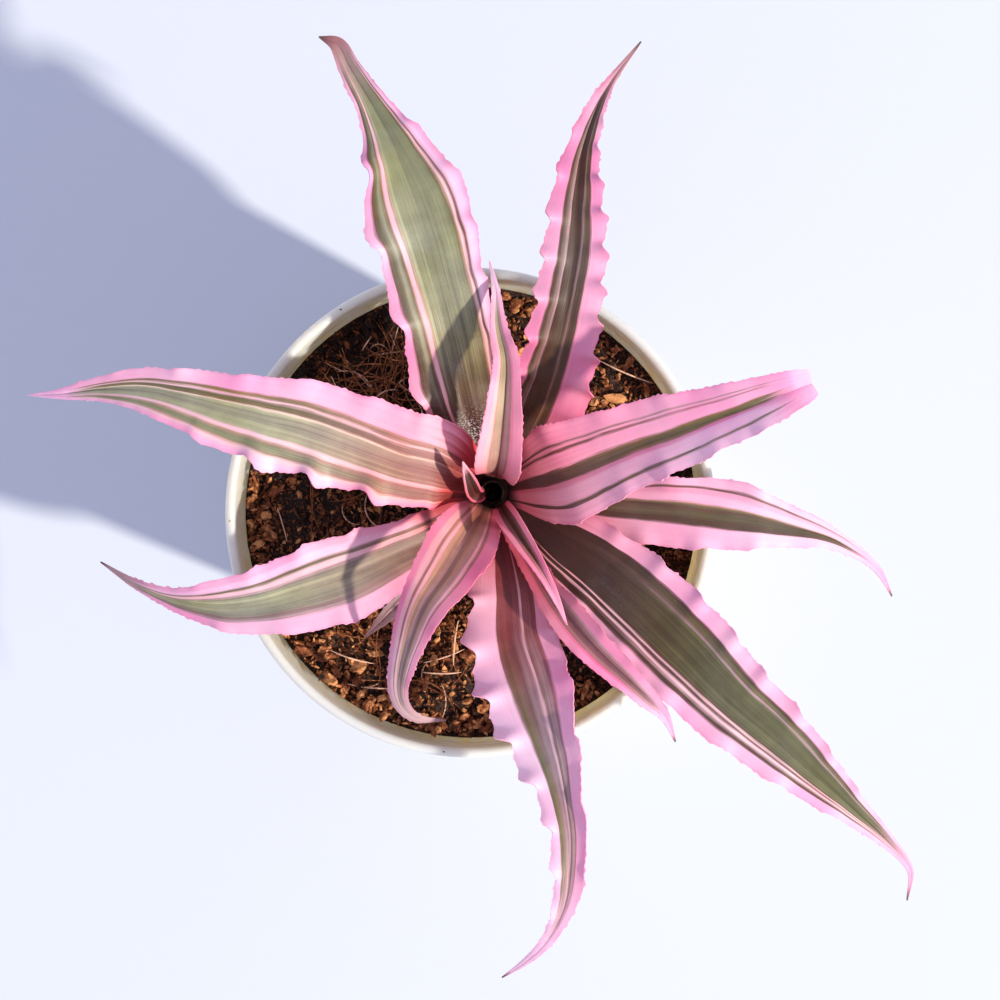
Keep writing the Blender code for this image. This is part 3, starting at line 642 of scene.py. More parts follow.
def leaf_material(name, leaf, look, underside):
    material, m, shader = new_material(name + ("_underside" if underside else "_upperside"))
    seed = (sum(ord(letter) for letter in name) % 23) * 3.7
    leaf_map = m.add("UVMap", {}, "UV", uv_map="UVMap")
    place = m.add("VectorMath", {0: leaf_map, 1: (0.0, 0.0, seed)}, operation="ADD")
    wander = m.noise(m.stretch(place, 5.0, 7.0, 1.0), 1.0)
    fibres = m.noise(m.stretch(place, 60.0, 8.0, 1.0), 1.0, 2.0, 0.6)
    swayed = m.part(leaf_map, "X") + (wander.swing(0.05) + fibres.swing(0.05))
    given = {"Stripes": m.ramp(swayed, stripe_stops(leaf.stripes, look.stripe_softness)),
             "Leaf place": place, "Object place": m.object_place(),
             "Frost": leaf.frost, "Dry end": leaf.dry, "Silver": look.underside_silver if underside else 0.0}
    given.update(zip(("Base start", "Base end", "Base amount"), leaf.base))
    given.update(zip(("Flush start", "Flush end", "Flush"), leaf.flush))
    given.update(zip(("Tip start", "Tip end"), leaf.tip))
    given.update({"Base colour": opaque(SHADES[leaf.base[-1]]), "Tip colour": opaque(SHADES[leaf.tip[-1]])})
    finish_surface(m, shader, "Leaf tissue", given, 0.12 * MM, 0.5, {
        "Subsurface Weight": look.glow, "Subsurface Radius": (1.0, 0.35, 0.45), "Subsurface Scale": 1.6 * MM,
        "Specular IOR Level": 0.4})
    return material


def deselect_all():
    bpy.ops.object.select_all(action="DESELECT")


def settle(piece, name, slot, *nodes):
    """Names a finished piece, lets it ride on the part's one body, and hides the parts that it stands for. Its
    slot is not used.
    """
    piece.name = name
    piece.data.name = name
    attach(piece, "root")
    if nodes:
        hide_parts(*nodes)


def wrap_up(piece, angle):
    """Applies a piece's place and shades it smooth, apart from its edges sharper than an angle in degrees."""
    deselect_all()
    piece.select_set(True)
    bpy.context.view_layer.objects.active = piece
    bpy.ops.object.transform_apply(location=True, rotation=True, scale=True)
    bpy.ops.object.shade_smooth_by_angle(angle=math.radians(angle))


def chord_places(stations):
    """How far along its chords each station of a rib lies."""
    chords = (math.dist(first[:3], second[:3]) for first, second in zip(stations, stations[1:]))
    return list(accumulate(chords, initial=0.0))


def blend(stations, share):
    """A smooth curve through the stations, read at a share of its chord length."""
    lengths = chord_places(stations)
    place = min(max(share, 0.0), 1.0) * lengths[-1]
    index = 0
    while index < len(stations) - 2 and place > lengths[index + 1]:
        index += 1
    span = lengths[index + 1] - lengths[index]
    t = (place - lengths[index]) / span

    def slope(at, axis):
        before = max(at - 1, 0)
        after = min(at + 1, len(stations) - 1)
        return (stations[after][axis] - stations[before][axis]) / (lengths[after] - lengths[before])

    values = []
    for axis in range(len(stations[0])):
        start, end = stations[index][axis], stations[index + 1][axis]
        rise, fall = slope(index, axis) * span, slope(index + 1, axis) * span
        values.append((2 * t ** 3 - 3 * t ** 2 + 1) * start + (t ** 3 - 2 * t ** 2 + t) * rise
                      + (3 * t ** 2 - 2 * t ** 3) * end + (t ** 3 - t ** 2) * fall)
    return values


def stem_radius(height):
    share = (height - STEM_FOOT) / (STEM_TOP - STEM_FOOT)
    return STEM_FOOT_RADIUS + (STEM_TOP_RADIUS - STEM_FOOT_RADIUS) * share


def rib_stations(leaf, thickness):
    """The rib's stations, with the first one where the leaf leaves the stem's side."""
    first = leaf.rib[0]
    away = Vector((first[0] - STEM_X, first[1] - STEM_Y)).normalized()
    reach = leaf.reach or stem_radius(leaf.base_height) + CLEARANCE + 0.5 * thickness
    start = (STEM_X + away.x * reach, STEM_Y + away.y * reach, leaf.base_height, leaf.base_half_width)
    return (start, *leaf.rib)


def between(values, shares, share):
    """Values at some shares of the leaf's length, read between them in straight lines."""
    return float(np.interp(share, shares, values))


def ease(span, value):
    """Rises smoothly from 0 to 1 over a span of values."""
    low, high = span
    t = min(max((value - low) / (high - low), 0.0), 1.0)
    return t * t * (3.0 - 2.0 * t)


def stretch_of(grow, fade, share):
    """1 along the stretch of a leaf between where something grows and where it fades, and 0 outside it."""
    return ease(grow, share) * (1.0 - ease(fade, share))


def tooth_row(length, rng):
    """The teeth of one margin, as (where it starts, where it ends, height) in millimetres along the rib."""
    teeth = []
    place = 0.0
    while place < length:
        pitch = rng.uniform(*TOOTH_PITCH)
        low, high = TOOTH_HEIGHT
        teeth.append((place, place + pitch, low + (high - low) * rng.random() ** 2))
        place += pitch
    return teeth


def tooth_height(teeth, place):
    """How far the margin stands out at a place: each tooth rises slowly and falls off towards the tip."""
    for start, end, height in teeth:
        if start <= place < end:
            share = (place - start) / (end - start)
            return height * (share / TOOTH_RISE if share < TOOTH_RISE else (1.0 - share) / (1.0 - TOOTH_RISE))
    return 0.0


class Blade:
    """The fine form of one leaf: its rib, waves, folds and teeth, in millimetres."""

    def __init__(self, leaf, thickness, seed):
        self.leaf = leaf
        self.stations = rib_stations(leaf, thickness)
        self.length = chord_places(self.stations)[-1]
        rng = random.Random(seed)
        self.teeth = {side: tooth_row(self.length, rng) for side in (1, -1)}
        self.ripple = {side: rng.uniform(0.0, 2.0 * math.pi) for side in (1, -1)}

    def row(self, share):
        """The rib's place, half width, side and up directions at a share of the length."""
        x, y, z, half_width = blend(self.stations, share)
        ahead = blend(self.stations, share + RIB_STEP)
        behind = blend(self.stations, share - RIB_STEP)
        along = Vector([ahead[axis] - behind[axis] for axis in range(3)]).normalized()
        side = Vector((0.0, 0.0, 1.0)).cross(along).normalized()
        return Vector((x, y, z)), half_width, side, along.cross(side)

    def offsets(self, share, half_width):
        """For each margin, what every point of a row shares: its edge and the movements of the blade there."""
        found = {}
        room = min(1.0, half_width / FULL_WAVE_HALF_WIDTH)
        toothed = stretch_of(TEETH_GROW, TEETH_FADE, share)
        for way, edge in ((1, self.leaf.left), (-1, self.leaf.right)):
            turn = 2.0 * math.pi * (share * self.length / edge.wave + edge.start)
            crest = -math.cos(turn - CREST_LEAN * math.sin(turn))
            shoulder = math.sin(turn - SHOULDER_LEAN * math.sin(turn))
            fold = math.tan(math.radians(between(edge.fold, (0.0, 0.5, 1.0), share))) * ease(FOLD_GROW, share)
            lively = room * stretch_of(WAVES_GROW, edge.fade, share)
            ripple = sum(math.sin(2.0 * math.pi * share * self.length / wave + self.ripple[way])
                         for wave in RIPPLE_LENGTHS)
            bite = edge.bite * BITE_REACH * shoulder - abs(edge.bite) * BITE_INSET
            found[way] = (fold, edge.upturn * stretch_of(UPTURN_GROW, UPTURN_FADE, share),
                          lively * bite, lively * edge.rise * crest,
                          tooth_height(self.teeth[way], share * self.length) * toothed * edge.tooth,
                          ripple * RIPPLE_HEIGHT * toothed)
        return found

    def point(self, row, offsets, across):
        place, half_width, side, up = row
        fold, upturn, bite, wave, tooth, ripple = offsets[1 if across > 0.0 else -1]
        out = abs(across)
        width = half_width + bite * out ** BITE_GATHER
        if out > 0.999:
            width += tooth
        lift = half_width * fold * out ** FOLD_GATHER + wave * out ** WAVE_GATHER
        lift += upturn * max(0.0, out - UPTURN_FROM) ** UPTURN_GATHER
        lift += ripple * out ** RIPPLE_GATHER
        channel = CHANNEL_DEPTH * min(1.0, half_width / FULL_CHANNEL_HALF_WIDTH)
        lift -= channel * math.exp(-(across / CHANNEL_WIDTH) ** 2)
        return place + side * (across * max(width, TIP_HALF_WIDTH)) + up * lift


def build_blade(name, leaf, look):
    """One leaf: a fine grid shaped by the leaf's formula, mapped along and across, and given its thickness."""
    blade = Blade(leaf, look.blade_thickness / MM, name)
    rows = max(24, round(blade.length / (look.row_pitch / MM)))
    deselect_all()
    bpy.ops.mesh.primitive_grid_add(x_subdivisions=look.columns, y_subdivisions=rows, size=2.0)
    piece = bpy.context.object
    mesh = piece.data
    table = [blade.row(row / rows) for row in range(rows + 1)]
    edges = [blade.offsets(row / rows, table[row][1]) for row in range(rows + 1)]
    places = []
    thickness = piece.vertex_groups.new(name="thickness")
    for vertex in mesh.vertices:
        row = round((vertex.co.y + 1.0) * 0.5 * rows)
        across = -math.sin(vertex.co.x * COLUMN_CROWDING) / math.sin(COLUMN_CROWDING)
        share = row / rows
        drift = between(leaf.drift, DRIFT_SHARES, share) * (1.0 - across ** 4)
        places.append(((across - drift + 1.0) * 0.5, share))
        vertex.co = blade.point(table[row], edges[row], across) * MM
        full = (1.0 - MARGIN_THINNING * abs(across) ** 2.5) * (1.0 - TIP_THINNING * ease(THINNING, share))
        thickness.add([vertex.index], full, "REPLACE")
    uvs = mesh.uv_layers[0]
    uvs.name = "UVMap"
    for loop in mesh.loops:
        uvs.data[loop.index].uv = places[loop.vertex_index]
    for underside in (False, True):
        mesh.materials.append(leaf_material(name, leaf, look, underside))

    solid = piece.modifiers.new("Thickness", "SOLIDIFY")
    solid.thickness = look.blade_thickness
    solid.offset = 0.0
    solid.vertex_group = "thickness"
    solid.thickness_vertex_group = LEAST_THICKNESS
    solid.material_offset = 1
    bpy.ops.object.modifier_apply(modifier=solid.name)
    wrap_up(piece, 50.0)
    settle(piece, name.replace("leaf", "blade"), leaf.slot, name)


def length_setting(name, description, default, precision=3):
    return FloatProperty(name=name, description=description, default=default, min=0.0, unit="LENGTH",
                         precision=precision)


def share_setting(name, description, default, most=1.0):
    return FloatProperty(name=name, description=description, default=default, min=0.0, max=most,
                         subtype="FACTOR", precision=3)


def count_setting(name, description, default, least=0):
    return IntProperty(name=name, description=description, default=default, min=least)


def colour_setting(name, description, default):
    return FloatVectorProperty(name=name, description=description, default=default, size=3, min=0.0, max=1.0,
                               subtype="COLOR")


class EarthStarLeafLook(bpy.types.PropertyGroup):
    """Sizes and looks that all the leaves share."""
    blade_thickness: length_setting("Blade thickness", "Thickness of a leaf along its rib", 0.0010, 4)
    row_pitch: FloatProperty(name="Row pitch", description="Distance between the rows of a leaf's mesh",
                             default=0.00042, min=0.0002, unit="LENGTH", precision=5)
    columns: count_setting("Columns", "How many strips a leaf's mesh has across", 26, 8)
    stripe_softness: share_setting(
        "Stripe softness", "Half the width over which a stripe turns into the next", 0.016, 0.03)
    underside_silver: share_setting("Underside silver", "How much silver scurf the undersides carry", 0.55)
    glow: share_setting("Glow", "How much light passes through the leaves", 0.18)


class EarthStarPotLook(bpy.types.PropertyGroup):
    """Sizes and colour of the pot."""
    height: length_setting("Height", "From the foot to the top of the lip", POT_HIGH.z)
    rim_radius: length_setting("Rim radius", "Outside of the lip", POT_HIGH.x)
    mouth_radius: length_setting("Mouth radius", "Inside of the lip", 0.0576)
    foot_radius: length_setting("Foot radius", "Outside of the foot", 0.0442)
    body_radius: length_setting("Body radius", "Outside of the body under the collar", 0.0502)
    body_height: length_setting("Body height", "From the foot to the collar", 0.0825)
    wall: length_setting("Wall", "Thickness of the wall", 0.0015, 4)
    segments: count_setting("Segments", "Strips round the pot", 160, 24)
    colour: colour_setting("Colour", "Colour of the ware", (0.67, 0.645, 0.605))


class EarthStarSoilLook(bpy.types.PropertyGroup):
    """Sizes, numbers and colours of the loose soil."""
    edge_height: length_setting("Edge height", "Height of the soil at the pot's wall", 0.095)
    crown: length_setting("Crown", "How far the middle stands over the edge", 0.0016, 4)
    lump: length_setting("Lumps", "Height of the soil's lumps", 0.0012, 4)
    clods: count_setting("Clods", "Number of large crumbs", 1150)
    chips: count_setting("Chips", "Number of bark and coir chips", 5200)
    fibres: count_setting("Fibres", "Number of brown fibres", 170)
    straws: count_setting("Straws", "Number of pale fibres", 46)
    # The dark colour is partly the crumbs' own darkest tone and partly painted shade: the mound under the chips
    # takes it nearly all over, as the shadowed hollows between them
    dark: colour_setting("Dark", "Colour of the damp hollows", (0.014, 0.006, 0.004))
    middle: colour_setting("Middle", "Colour of the crumbs", (0.26, 0.075, 0.026))
    light: colour_setting("Light", "Colour of the dry chips", (0.68, 0.30, 0.12))


class EarthStarStageLook(bpy.types.PropertyGroup):
    """The floor, the light and the camera."""
    floor_colour: colour_setting("Floor", "Colour of the floor", (0.63, 0.655, 0.735))
    fill_colour: colour_setting("Fill", "Colour of the light from all round", (0.592, 0.622, 0.805))
    key_colour: colour_setting("Key", "Colour of the lamp", (1.0, 0.955, 0.805))
    key_power: FloatProperty(name="Key power", description="Power of the lamp in watts", default=436.0)
    key_size: length_setting("Key size", "Width of the lamp", 0.236)
    camera_height: length_setting("Camera height", "Height of the camera over the floor", 0.705)
    lens: FloatProperty(name="Lens", description="Focal length in millimetres", default=88.4)


def soil_lift(x, y):
    """Height of the lumps over the mound at a place in millimetres, as a share of their full height."""
    broad = math.sin(0.31 * x + 1.3 * math.sin(0.17 * y)) * math.cos(0.27 * y - 0.9 * math.sin(0.21 * x))
    fine = math.sin(0.83 * x + 0.4 * y + 1.1) * math.sin(0.71 * y - 0.36 * x + 0.4)
    return 0.6 * broad + 0.4 * fine


def soil_surface(look, x, y):
    """Height of the soil's surface in metres at a place in metres."""
    share = min(1.0, math.hypot(x, y) / SOIL_RADIUS)
    crumbs = noise.fractal(Vector((x, y, 0.0)) * 420.0, 0.6, 2.1, 4)
    lumps = look.lump * soil_lift(x / MM, y / MM) * (1.0 - share ** 6)
    return look.edge_height + look.crown * (1.0 - share ** 2) + lumps + 0.0006 * crumbs


def soil_material(name, look, grain, tone=None, shift=0.0):
    """Crumbly soil: of one tone, or with the tone that each crumb carries, and dry chips lighter by a shift."""
    material, m, shader = new_material(name)
    given = {"Place": m.object_place(), "Grain": grain, "Dark": opaque(look.dark),
             "Middle": opaque(look.middle), "Light": opaque(min(1.0, value + shift) for value in look.light),
             "Tone": m.add("Attribute", {}, "Fac", attribute_name="tone") if tone is None else tone}
    finish_surface(m, shader, "Crumb", given, 0.3 * MM, 0.8, {"Specular IOR Level": 0.25})
    return material


def strewn(name, template, placements, material):
    """One piece of many copies of a small template. Each placement is a function of the points, and a tone."""
    points = np.array([vertex.co for vertex in template.data.vertices])
    faces = [tuple(polygon.vertices) for polygon in template.data.polygons]
    all_points, all_faces, tones = [], [], []
    for shape, tone in placements:
        start = len(tones)
        all_points.append(shape(points))
        all_faces.extend([tuple(start + index for index in face) for face in faces])
        tones.extend([tone] * len(points))
    mesh = template.data
    mesh.clear_geometry()
    mesh.from_pydata(np.concatenate(all_points).tolist(), [], all_faces)
    attribute = mesh.attributes.new("tone", "FLOAT", "POINT")
    attribute.data.foreach_set("value", np.array(tones, np.float32))
    mesh.materials.append(material)
    mesh.update()
    wrap_up(template, 30.0)
    settle(template, name, "soil_brown")


def select_none_in_edit_mode(kind):
    bpy.ops.object.mode_set(mode="EDIT")
    bpy.ops.mesh.select_mode(type=kind)
    bpy.ops.mesh.select_all(action="DESELECT")


def face_outwards():
    """Turns all the faces outwards and leaves edit mode."""
    bpy.ops.mesh.select_all(action="SELECT")
    bpy.ops.mesh.normals_make_consistent(inside=False)
    bpy.ops.object.mode_set(mode="OBJECT")


def turned(profile, segments):
    """A body of revolution: a disc at the first (radius, height), extruded ring by ring to a closed end."""
    deselect_all()
    first = profile[0]
    bpy.ops.mesh.primitive_circle_add(vertices=segments, radius=first[0], fill_type="TRIFAN",
                                      location=(0.0, 0.0, first[1]))
    piece = bpy.context.object
    select_none_in_edit_mode("VERT")
    bpy.ops.object.mode_set(mode="OBJECT")
    for vertex in piece.data.vertices:
        vertex.select = vertex.co.xy.length > 0.5 * first[0]
    bpy.ops.object.mode_set(mode="EDIT")
    for (radius, height), (following, above) in zip(profile, profile[1:]):
        bpy.ops.mesh.extrude_edges_move(TRANSFORM_OT_translate={"value": (0.0, 0.0, above - height)})
        scale = following / radius
        bpy.ops.transform.resize(value=(scale, scale, 1.0))
    bpy.ops.mesh.merge(type="CENTER")
    face_outwards()
    return piece


def arc(centre, radius, start, end, steps):
    """Points of a round stretch of a profile, from a start angle to an end angle in degrees."""
    angles = [math.radians(start + (end - start) * step / steps) for step in range(steps + 1)]
    return [(centre[0] + radius * math.cos(angle), centre[1] + radius * math.sin(angle)) for angle in angles]


class EARTHSTAR_OT_pot(bpy.types.Operator):
    """Turns the white pot, with its foot ring, collar and rounded lip"""
    bl_idname = "earth_star.pot"
    bl_label = "Pot"

    def execute(self, context):
        look = context.scene.earth_star_pot
        piece = turned(self.profile(look), look.segments)
        piece.data.materials.append(self.material(look))
        wrap_up(piece, 35.0)
        settle(piece, "pot_ware", "pot_white", "pot")
        return {"FINISHED"}

    def profile(self, look):
        """The pot's outline as (radius, height), from the middle of its underside to that of its floor."""
        foot, body, top = look.foot_radius, look.body_radius, look.body_height
        lip = 0.5 * (look.rim_radius - look.mouth_radius)

        def side(height):
            return foot + (body - foot) * height / top

        points = [(0.004, FOOT_RING), (0.02, FOOT_RING)]
        points += arc((foot - 0.0054, FOOT_RING - 0.0006), 0.0006, 90, 0, 4)
        points += [(foot - 0.0046, 0.0004), (foot - 0.0041, 0.0)]
        points += arc((foot - 0.0010, 0.0010), 0.0010, -90, -5, 6)
        points += [(side(height), height) for height in
                   (0.0012 + (top - 0.0022) * step / 20 for step in range(1, 21))]
        # Outwards under the collar, up its outside and over the lip
        points += arc((body + 0.0010, top - 0.0007), 0.0010, 180, 95, 5)
        points += [(body + 0.0024, top + 0.0003)]
        points += arc((0.0541, top + 0.0015), 0.0012, -80, 10, 6)
        points += COLLAR_OUTSIDE
        points += arc((look.rim_radius - lip, look.height - lip), lip, 10, 170, 16)
        # Down the inside of the collar, inwards over its step, and down to the floor
        points += COLLAR_INSIDE
        points += arc((0.0532, 0.0853), 0.0006, 0, -80, 4)
        points += [(0.0515, 0.0844)]
        points += arc((0.0497, 0.0832), 0.0010, 95, 180, 4)
        points += [(side(height) - look.wall, height) for height in
                   (INNER_STEP + (POT_FLOOR + 0.002 - INNER_STEP) * step / 12 for step in range(0, 13))]
        points += arc((side(POT_FLOOR) - look.wall - 0.002, POT_FLOOR + 0.002), 0.002, -10, -90, 5)
        return points + [(0.02, POT_FLOOR), (0.002, POT_FLOOR)]

    def material(self, look):
        """White ware, browned on the inside of the wall above the soil: partly soil stains, partly painted
        light thrown up from the soil.
        """
        material, m, shader = new_material("white_ware")
        place = m.object_place()
        height = m.part(place, "Z")
        radius = m.add("VectorMath", {0: m.stretch(place, 1.0, 1.0, 0.0)}, "Value", operation="LENGTH")
        middle_of_wall = height * 0.229 + 0.0353
        inside = m.rise(radius - middle_of_wall, 0.0003, -0.0003)
        inside = inside * m.rise(height, look.body_height + 0.003, look.body_height + 0.006)
        low = m.rise(height, look.height - 0.001, look.height - 0.009)
        splash = m.rise(m.noise(place, 240.0, 4.0, 0.7), 0.40, 0.72)
        # Partly soil stains, partly painted light from the soil: the inside of the wall above the soil goes tan
        ware = m.mix((inside * low * (splash + 0.08)).clamped(), opaque(look.colour), STAIN_AND_PAINTED_BOUNCE)
        given = {"Place": place, "Colour": ware, "Roughness": 0.3, "Marks": 0.6}
        finish_surface(m, shader, "Handling marks", given, 0.4 * MM, 0.25, {
            "Subsurface Weight": 0.9, "Subsurface Radius": (1.0, 0.8, 0.55), "Subsurface Scale": 8.0 * MM})
        return material


class EARTHSTAR_OT_soil(bpy.types.Operator):
    """Lays the mound of soil, a fine sheet with lumps and crumbs that closes round the plug below it"""
    bl_idname = "earth_star.soil"
    bl_label = "Soil mound"

    def execute(self, context):
        look = context.scene.earth_star_soil
        deselect_all()
        bpy.ops.mesh.primitive_grid_add(x_subdivisions=150, y_subdivisions=150, size=2.0)
        piece = bpy.context.object
        for vertex in piece.data.vertices:
            across, along, _ = vertex.co
            x = across * math.sqrt(1.0 - 0.5 * along ** 2) * SOIL_RADIUS
            y = along * math.sqrt(1.0 - 0.5 * across ** 2) * SOIL_RADIUS
            vertex.co = (x, y, soil_surface(look, x, y) - 0.0014)
        select_none_in_edit_mode("EDGE")
        bpy.ops.mesh.select_non_manifold()
        bpy.ops.mesh.extrude_edges_move(TRANSFORM_OT_translate={"value": (0.0, 0.0, -0.007)})
        bpy.ops.transform.resize(value=(0.95, 0.95, 0.0))
        bpy.ops.mesh.edge_face_add()
        face_outwards()
        # The mound is painted mostly in the dark tone: painted shade in the hollows between the chips
        piece.data.materials.append(soil_material("soil_crumbs", look, 1300.0, tone=0.12))
        wrap_up(piece, 60.0)
        settle(piece, "soil_mound", "soil_brown", "soil")
        return {"FINISHED"}


class EARTHSTAR_OT_chips(bpy.types.Operator):
    """Strews large crumbs, then small chips of bark and coir over the soil, and a few on the lip"""
    bl_idname = "earth_star.chips"
    bl_label = "Soil chips"

    def execute(self, context):
        look = context.scene.earth_star_soil
        self.strew("soil_clods", look, look.clods, fineness=2, sizes=(0.0034, 0.0013), rises=(0.05, 0.45),
                   spilled=0, seed=23)
        self.strew("soil_chips", look, look.chips, fineness=1, sizes=(0.0021, 0.0007), rises=(-0.2, 0.45),
                   spilled=9, seed=41)
        return {"FINISHED"}

    def strew(self, name, look, count, fineness, sizes, rises, spilled, seed):
        """Crumbs that shrink between two sizes as they are laid, raised by a share of their size."""
        rng = random.Random(seed)
        radius = SOIL_RADIUS - 0.0012
        deselect_all()
        bpy.ops.mesh.primitive_ico_sphere_add(subdivisions=fineness, radius=0.5)
        template = bpy.context.object
        for vertex in template.data.vertices:
            vertex.co *= 0.85 + 0.5 * noise.noise(vertex.co * 2.3)
        corners = len(template.data.vertices)

        def chip(size, x, y, height):
            pitch, roll, turn = CHIP_TILTS
            tilt = Euler((rng.uniform(-pitch, pitch), rng.uniform(-roll, roll), rng.uniform(0, turn)))
            turned_by = np.array(tilt.to_matrix()).T
            form = np.array([size * rng.uniform(*side) for side in CHIP_SIDES])
            rub = np.array([[rng.uniform(-CHIP_RUB, CHIP_RUB) for _ in range(3)] for _ in range(corners)])
            place = np.array((x, y, height))
            return lambda points: ((points + rub) * form) @ turned_by + place

        placements = []
        for index in range(count):
            share = index / max(1, count)
            size = (sizes[0] + (sizes[1] - sizes[0]) * share ** 0.5) * rng.uniform(0.75, 1.25)
            distance = radius * math.sqrt(rng.random())
            angle = rng.uniform(0.0, 2.0 * math.pi)
            heaped = index % HEAPED_EVERY == 0
            if heaped:
                bank = rng.random()
                distance = radius + 0.0008 - 0.4 * size - BANK_WIDTH * bank
                angle = math.radians(rng.uniform(*HEAPED_ANGLES))
            x, y = distance * math.cos(angle), distance * math.sin(angle)
            by_stem = math.hypot(x - STEM_X * MM, y - STEM_Y * MM) < ROOM_ROUND_STEM
            if by_stem or distance + 0.4 * size > radius + 0.0009:
                continue
            height = soil_surface(look, x, y) - 0.0008 + size * rng.uniform(*rises)
            if heaped:
                height += rng.uniform(LEAST_BANK, 1.0) * BANK_HEIGHT * (1.0 - bank)
            # Painted shade: chips near the shaded place get a darker tone
            dark_patch = 1.0 - ease(SHADED_SOIL_REACH, math.hypot(x - SHADED_SOIL_PLACE[0], y - SHADED_SOIL_PLACE[1]))
            placements.append((chip(size, x, y, height), rng.betavariate(2.2, 1.9) - PAINTED_SOIL_SHADE * dark_patch))
        for _ in range(spilled):
            size, angle = rng.uniform(0.0004, 0.0008), rng.uniform(0.0, 2.0 * math.pi)
            distance = POT_HIGH.x - 0.0012
            x, y = distance * math.cos(angle), distance * math.sin(angle)
            placements.append((chip(size, x, y, POT_HIGH.z + 0.3 * size), 0.35))
        strewn(name, template, placements, soil_material(name + "_bark", look, 800.0))


class EARTHSTAR_OT_fibres(bpy.types.Operator):
    """Lays curved brown fibres and short pale straws on the soil"""
    bl_idname = "earth_star.fibres"
    bl_label = "Soil fibres"

    def execute(self, context):
        look = context.scene.earth_star_soil
        self.lay("soil_fibres", look, look.fibres, lengths=(0.010, 0.030), radii=(0.00010, 0.00020),
                 tone=0.62, shift=0.0, seed=7)
        self.lay("soil_straws", look, look.straws, lengths=(0.004, 0.013), radii=(0.00012, 0.00022),
                 tone=0.98, shift=0.25, seed=19, placed=STRAWS)
        return {"FINISHED"}

    def lay(self, name, look, count, lengths, radii, tone, shift, seed, placed=()):
        """Fibres strewn at random, most of them in the place where the soil is painted darker, and then some
        from end to end.
        """
        rng = random.Random(seed)
        reach = SOIL_RADIUS - 0.001
        deselect_all()
        bpy.ops.mesh.primitive_cylinder_add(vertices=5, radius=1.0, depth=1.0, end_fill_type="TRIFAN",
                                            rotation=(0.0, math.pi / 2.0, 0.0))
        template = bpy.context.object
        bpy.ops.object.transform_apply(rotation=True)
        bpy.ops.object.mode_set(mode="EDIT")
        bpy.ops.mesh.select_all(action="SELECT")
        for step in range(1, STRAW_STEPS):
            bpy.ops.mesh.bisect(plane_co=(step / STRAW_STEPS - 0.5, 0.0, 0.0), plane_no=(1.0, 0.0, 0.0))
            bpy.ops.mesh.select_all(action="SELECT")
        bpy.ops.object.mode_set(mode="OBJECT")

        def fibre(line=None):
            length, thick = rng.uniform(*lengths), rng.uniform(*radii)
            heading, bend = rng.uniform(0.0, 2.0 * math.pi), rng.uniform(-2.4, 2.4)
            if line:
                start, end = Vector(line[0]) * MM, Vector(line[1]) * MM
                length, thick, bend = (end - start).length, radii[1], 0.25
                heading = math.atan2(end.y - start.y, end.x - start.x)
                x, y = 0.5 * (start + end)
            while not line:
                x, y = (rng.uniform(-reach, reach) for _ in range(2))
                if rng.random() < 0.35:
                    x, y = rng.gauss(-0.024, 0.010), rng.gauss(0.034, 0.009)
                if math.hypot(x, y) + 0.5 * length < reach:
                    break
            lift, arch = rng.uniform(0.0002, 0.0012), rng.uniform(0.0, 0.0016)

            def shape(points):
                t = points[:, 0]
                angle = heading + bend * t
                cx = x + length * t * np.cos(heading + 0.5 * bend * t)
                cy = y + length * t * np.sin(heading + 0.5 * bend * t)
                ground = np.array([soil_surface(look, a, b) for a, b in zip(cx, cy)])
                ground = 0.5 * ground + 0.5 * ground.mean()
                taper = thick * (1.0 - 0.75 * np.abs(2.0 * t) ** 3)
                sideways, upward = points[:, 1] * taper, points[:, 2] * taper
                return np.stack([cx - np.sin(angle) * sideways, cy + np.cos(angle) * sideways,
                                 ground + lift + arch * np.cos(np.pi * t) + upward], axis=1)
            return shape

        placements = [(fibre(), tone * rng.uniform(0.7, 1.0)) for _ in range(count)]
        placements += [(fibre(line), tone) for line in placed]
        strewn(name, template, placements,
               soil_material(name.replace("soil", "loose"), look, 1500.0, shift=shift))


